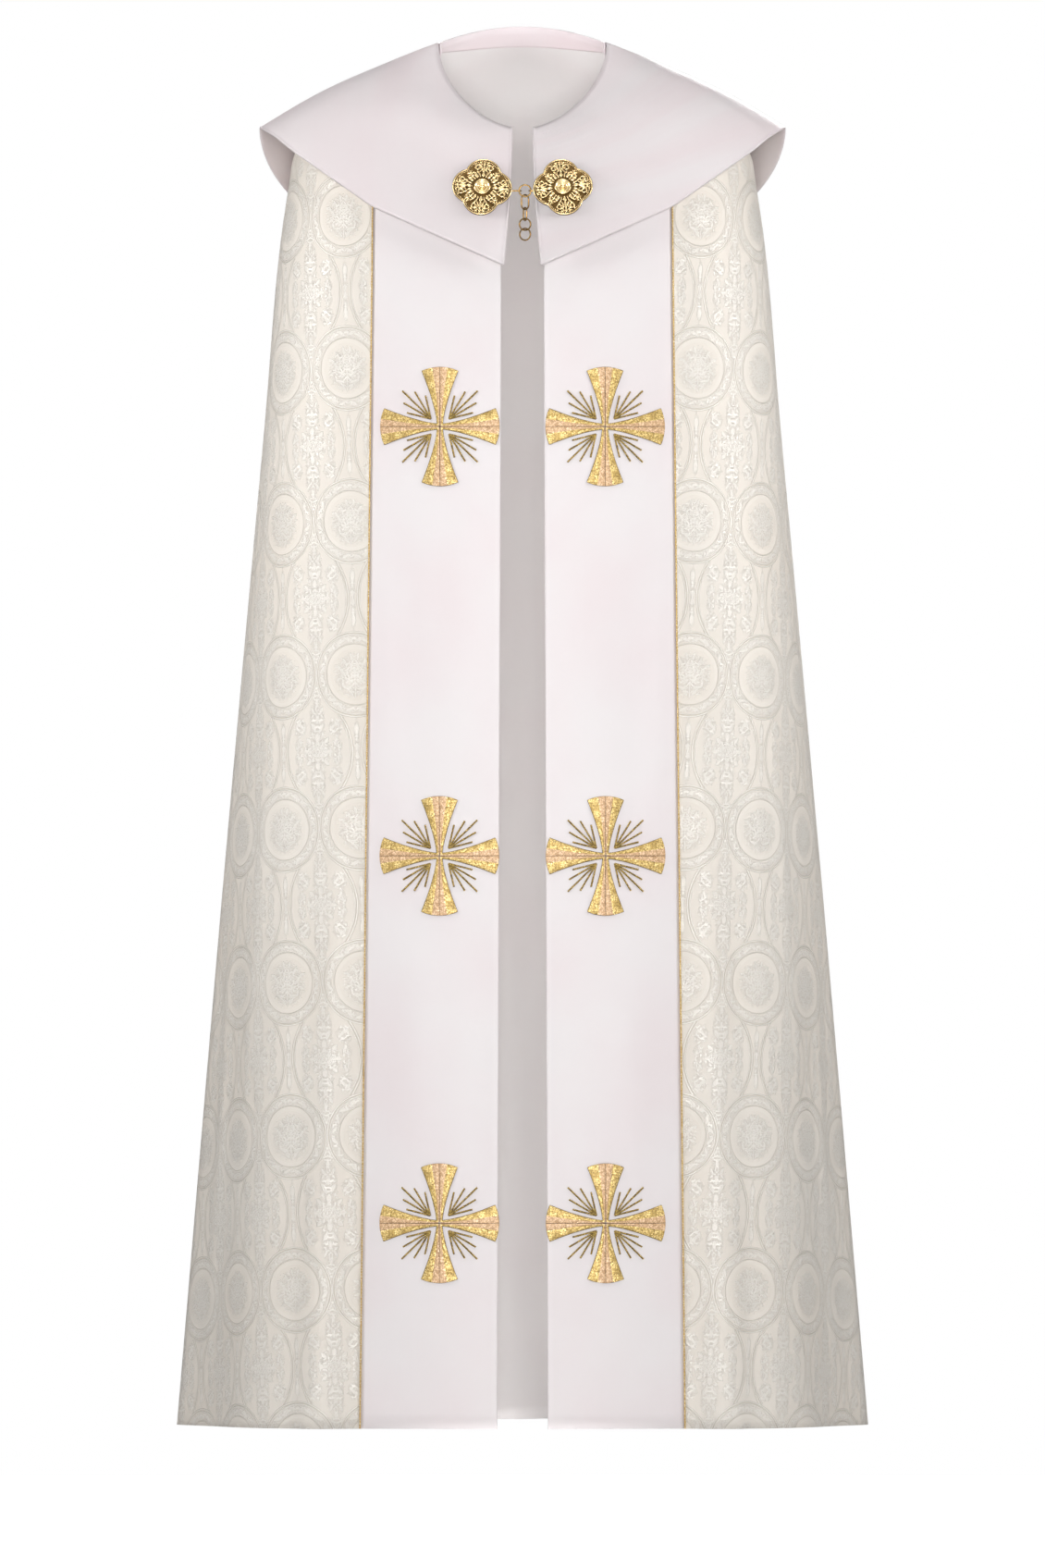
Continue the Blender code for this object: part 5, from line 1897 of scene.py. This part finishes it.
class COPE_OT_chain(bpy.types.Operator):
    """Makes the wires and the hanging chain between the medallions"""

    bl_idname = "cope.chain"
    bl_label = "Clasp chain"

    def execute(self, context):
        height = CLASP_RING_HEIGHT
        pieces = [("clasp_ring", link_path(2 * RING_RADIUS, RING_RADIUS, 0.0, height))]
        links = (
            ("chain_link_oval", LINK_LENGTH, LINK_RADIUS, 38.0),
            ("chain_link_small", SMALL_LINK_LENGTH, SMALL_LINK_RADIUS, -60.0),
            ("chain_ring_upper", 2 * RING_RADIUS, RING_RADIUS, 18.0),
            ("chain_ring_lower", 2 * RING_RADIUS, RING_RADIUS, -24.0),
        )
        foot = height - RING_RADIUS
        for name, length, radius, turn in links:
            height = foot + LINK_PLAY - length / 2
            pieces.append((name, link_path(length, radius, math.radians(turn), height)))
            foot = height - length / 2
        pieces.append(("clasp_eye", hook_path(1.0, EYE_START, CHAIN_ACROSS - LOOP_REACH)))
        pieces.append(("clasp_hook", hook_path(-1.0, HOOK_START, CHAIN_ACROSS + LOOP_REACH)))
        wire = material("gilt_wire", gilt_finish, WIRE_GILT, WIRE_TARNISH, 0.55, 0.12)
        for name, path in pieces:
            closed = name not in ("clasp_eye", "clasp_hook")
            piece = cord(
                f"gilt_{name}", [path], closed, Radius=WIRE_RADIUS, Step=0.0005, Sides=12,
                Material=wire,
            )
            declare(piece, "gold_metal", name)
        return {"FINISHED"}


# ---------------------------------------------------------------- stage
FLOOR_RADIUS, FLOOR_GLOW = 3.4, 0.9
# How bright the surroundings are: to the camera, as light, and how much brighter
# they are in front where something reflects them.
SKY_SEEN, SKY_LIGHT, SKY_MIRRORED = 1.0, 0.11, 0.70
Lamp = namedtuple("Lamp", "name place aim_height size power spread")
LAMPS = rows_of(
    Lamp, ("key", (0.0, -6.0, -0.2), -0.82, 2.2, 29.8, 72.0),
    ("left", (-1.95, -0.75, 0.2), -0.50, 0.8, 3.9, 70.0),
    ("right", (1.95, -0.75, 0.2), -0.50, 0.8, 3.9, 70.0),
    ("back", (0.8, 7.0, 1.8), -0.72, 2.6, 240.0, 180.0),
    ("top", (0.0, -0.6, 4.2), -0.20, 2.0, 46.0, 150.0),
    ("low", (0.0, 0.0, -1.53), 0.0, 0.5, 0.62, 60.0),
)


def floor_finish(nodes):
    """Pale paper, which glows only to the camera."""
    cloud = nodes.noise(nodes.place(), 0.8, 3.0)
    seen = nodes.out("ShaderNodeLightPath", "Is Camera Ray")
    return {
        "Base Color": nodes.mix(cloud, (0.93, 0.93, 0.93), (0.96, 0.96, 0.96)), "Roughness": 0.9,
        "Specular IOR Level": 0.1, "Emission Color": (1.0, 1.0, 1.0),
        "Emission Strength": seen * FLOOR_GLOW,
    }


class COPE_OT_stage(bpy.types.Operator):
    """Makes the pale floor, the soft lights and the camera"""

    bl_idname = "cope.stage"
    bl_label = "Stage"

    def execute(self, context):
        stage = context.scene.cope_stage
        self.add_floor(stage)
        self.add_lights()
        self.add_world(context.scene)
        self.add_camera(context.scene, stage)
        context.scene.view_settings.view_transform = "Standard"
        return {"FINISHED"}

    def add_floor(self, stage):
        shape = bmesh.new()
        bmesh.ops.create_circle(shape, cap_ends=True, segments=96, radius=FLOOR_RADIUS)
        floor = shaped("floor", shape, material("pale_floor", floor_finish))
        floor.location.z = stage.floor_height

    def add_lights(self):
        for lamp in LAMPS:
            light = bpy.data.lights.new(lamp.name, "AREA")
            light.shape = "DISK"
            light.size = lamp.size
            light.energy = lamp.power
            light.spread = math.radians(lamp.spread)
            thing = placed(lamp.name, light)
            thing.visible_camera = False
            thing.location = lamp.place
            aim = Vector((0.0, 0.0, lamp.aim_height)) - thing.location
            thing.rotation_euler = aim.to_track_quat("-Z", "Y").to_euler()

    def add_world(self, scene):
        world = bpy.data.worlds.new("studio")
        world.use_nodes = True
        nodes = Nodes(world.node_tree)
        background = world.node_tree.nodes["Background"]
        seen = nodes.out("ShaderNodeLightPath", "Is Camera Ray")
        mirrored = nodes.out("ShaderNodeLightPath", "Is Glossy Ray")
        _, depth, _ = nodes.split(nodes.out("ShaderNodeTexCoord", "Generated"))
        in_front = nodes.remap(depth, 0.10, -0.60, 0.0, SKY_MIRRORED)
        nodes.feed(background.inputs["Color"], (1.0, 1.0, 1.0))
        strength = seen * (SKY_SEEN - SKY_LIGHT) + mirrored * in_front + SKY_LIGHT
        nodes.feed(background.inputs["Strength"], strength)
        scene.world = world

    def add_camera(self, scene, stage):
        lens = bpy.data.cameras.new("camera")
        lens.sensor_fit = "AUTO"
        lens.sensor_width = 36.0
        lens.lens = 36.0 * stage.camera_distance / stage.view_height
        lens.clip_start = 0.5
        lens.clip_end = stage.camera_distance * 4.0
        camera = placed("camera", lens)
        camera.location = (0.0, -stage.camera_distance, stage.camera_height)
        camera.rotation_euler = (math.pi / 2, 0.0, 0.0)
        scene.camera = camera


# ---------------------------------------------------------------- panel
SETTINGS = {
    "cope_cloth": CopeClothSettings, "cope_gold": CopeGoldSettings, "cope_stage": CopeStageSettings,
}
PIECE_OPERATORS = (
    COPE_OT_brocade, COPE_OT_front_bands, COPE_OT_collar, COPE_OT_pipings, COPE_OT_crosses,
    COPE_OT_medallions, COPE_OT_chain, COPE_OT_stage,
)


class COPE_PT_pieces(bpy.types.Panel):
    """Lists the pieces of the cope and their settings"""

    bl_idname = "COPE_PT_pieces"
    bl_label = "Cope"
    bl_space_type = "VIEW_3D"
    bl_region_type = "UI"
    bl_category = "Cope"

    def draw(self, context):
        layout = self.layout
        for group in SETTINGS:
            settings = getattr(context.scene, group)
            box = layout.box()
            for name in settings.__annotations__:
                box.prop(settings, name)
        for operator in PIECE_OPERATORS:
            layout.operator(operator.bl_idname)


CLASSES = (*SETTINGS.values(), *PIECE_OPERATORS, COPE_PT_pieces)


def register():
    for made in CLASSES:
        bpy.utils.register_class(made)
    for name, settings in SETTINGS.items():
        setattr(bpy.types.Scene, name, bpy.props.PointerProperty(type=settings))


def unregister():
    for name in SETTINGS:
        delattr(bpy.types.Scene, name)
    for made in reversed(CLASSES):
        bpy.utils.unregister_class(made)


def main():
    register()
    bpy.ops.cope.brocade()
    bpy.ops.cope.front_bands()
    bpy.ops.cope.collar()
    bpy.ops.cope.pipings()
    bpy.ops.cope.crosses()
    bpy.ops.cope.medallions()
    bpy.ops.cope.chain()
    bpy.ops.cope.stage()


if __name__ == "__main__":
    main()
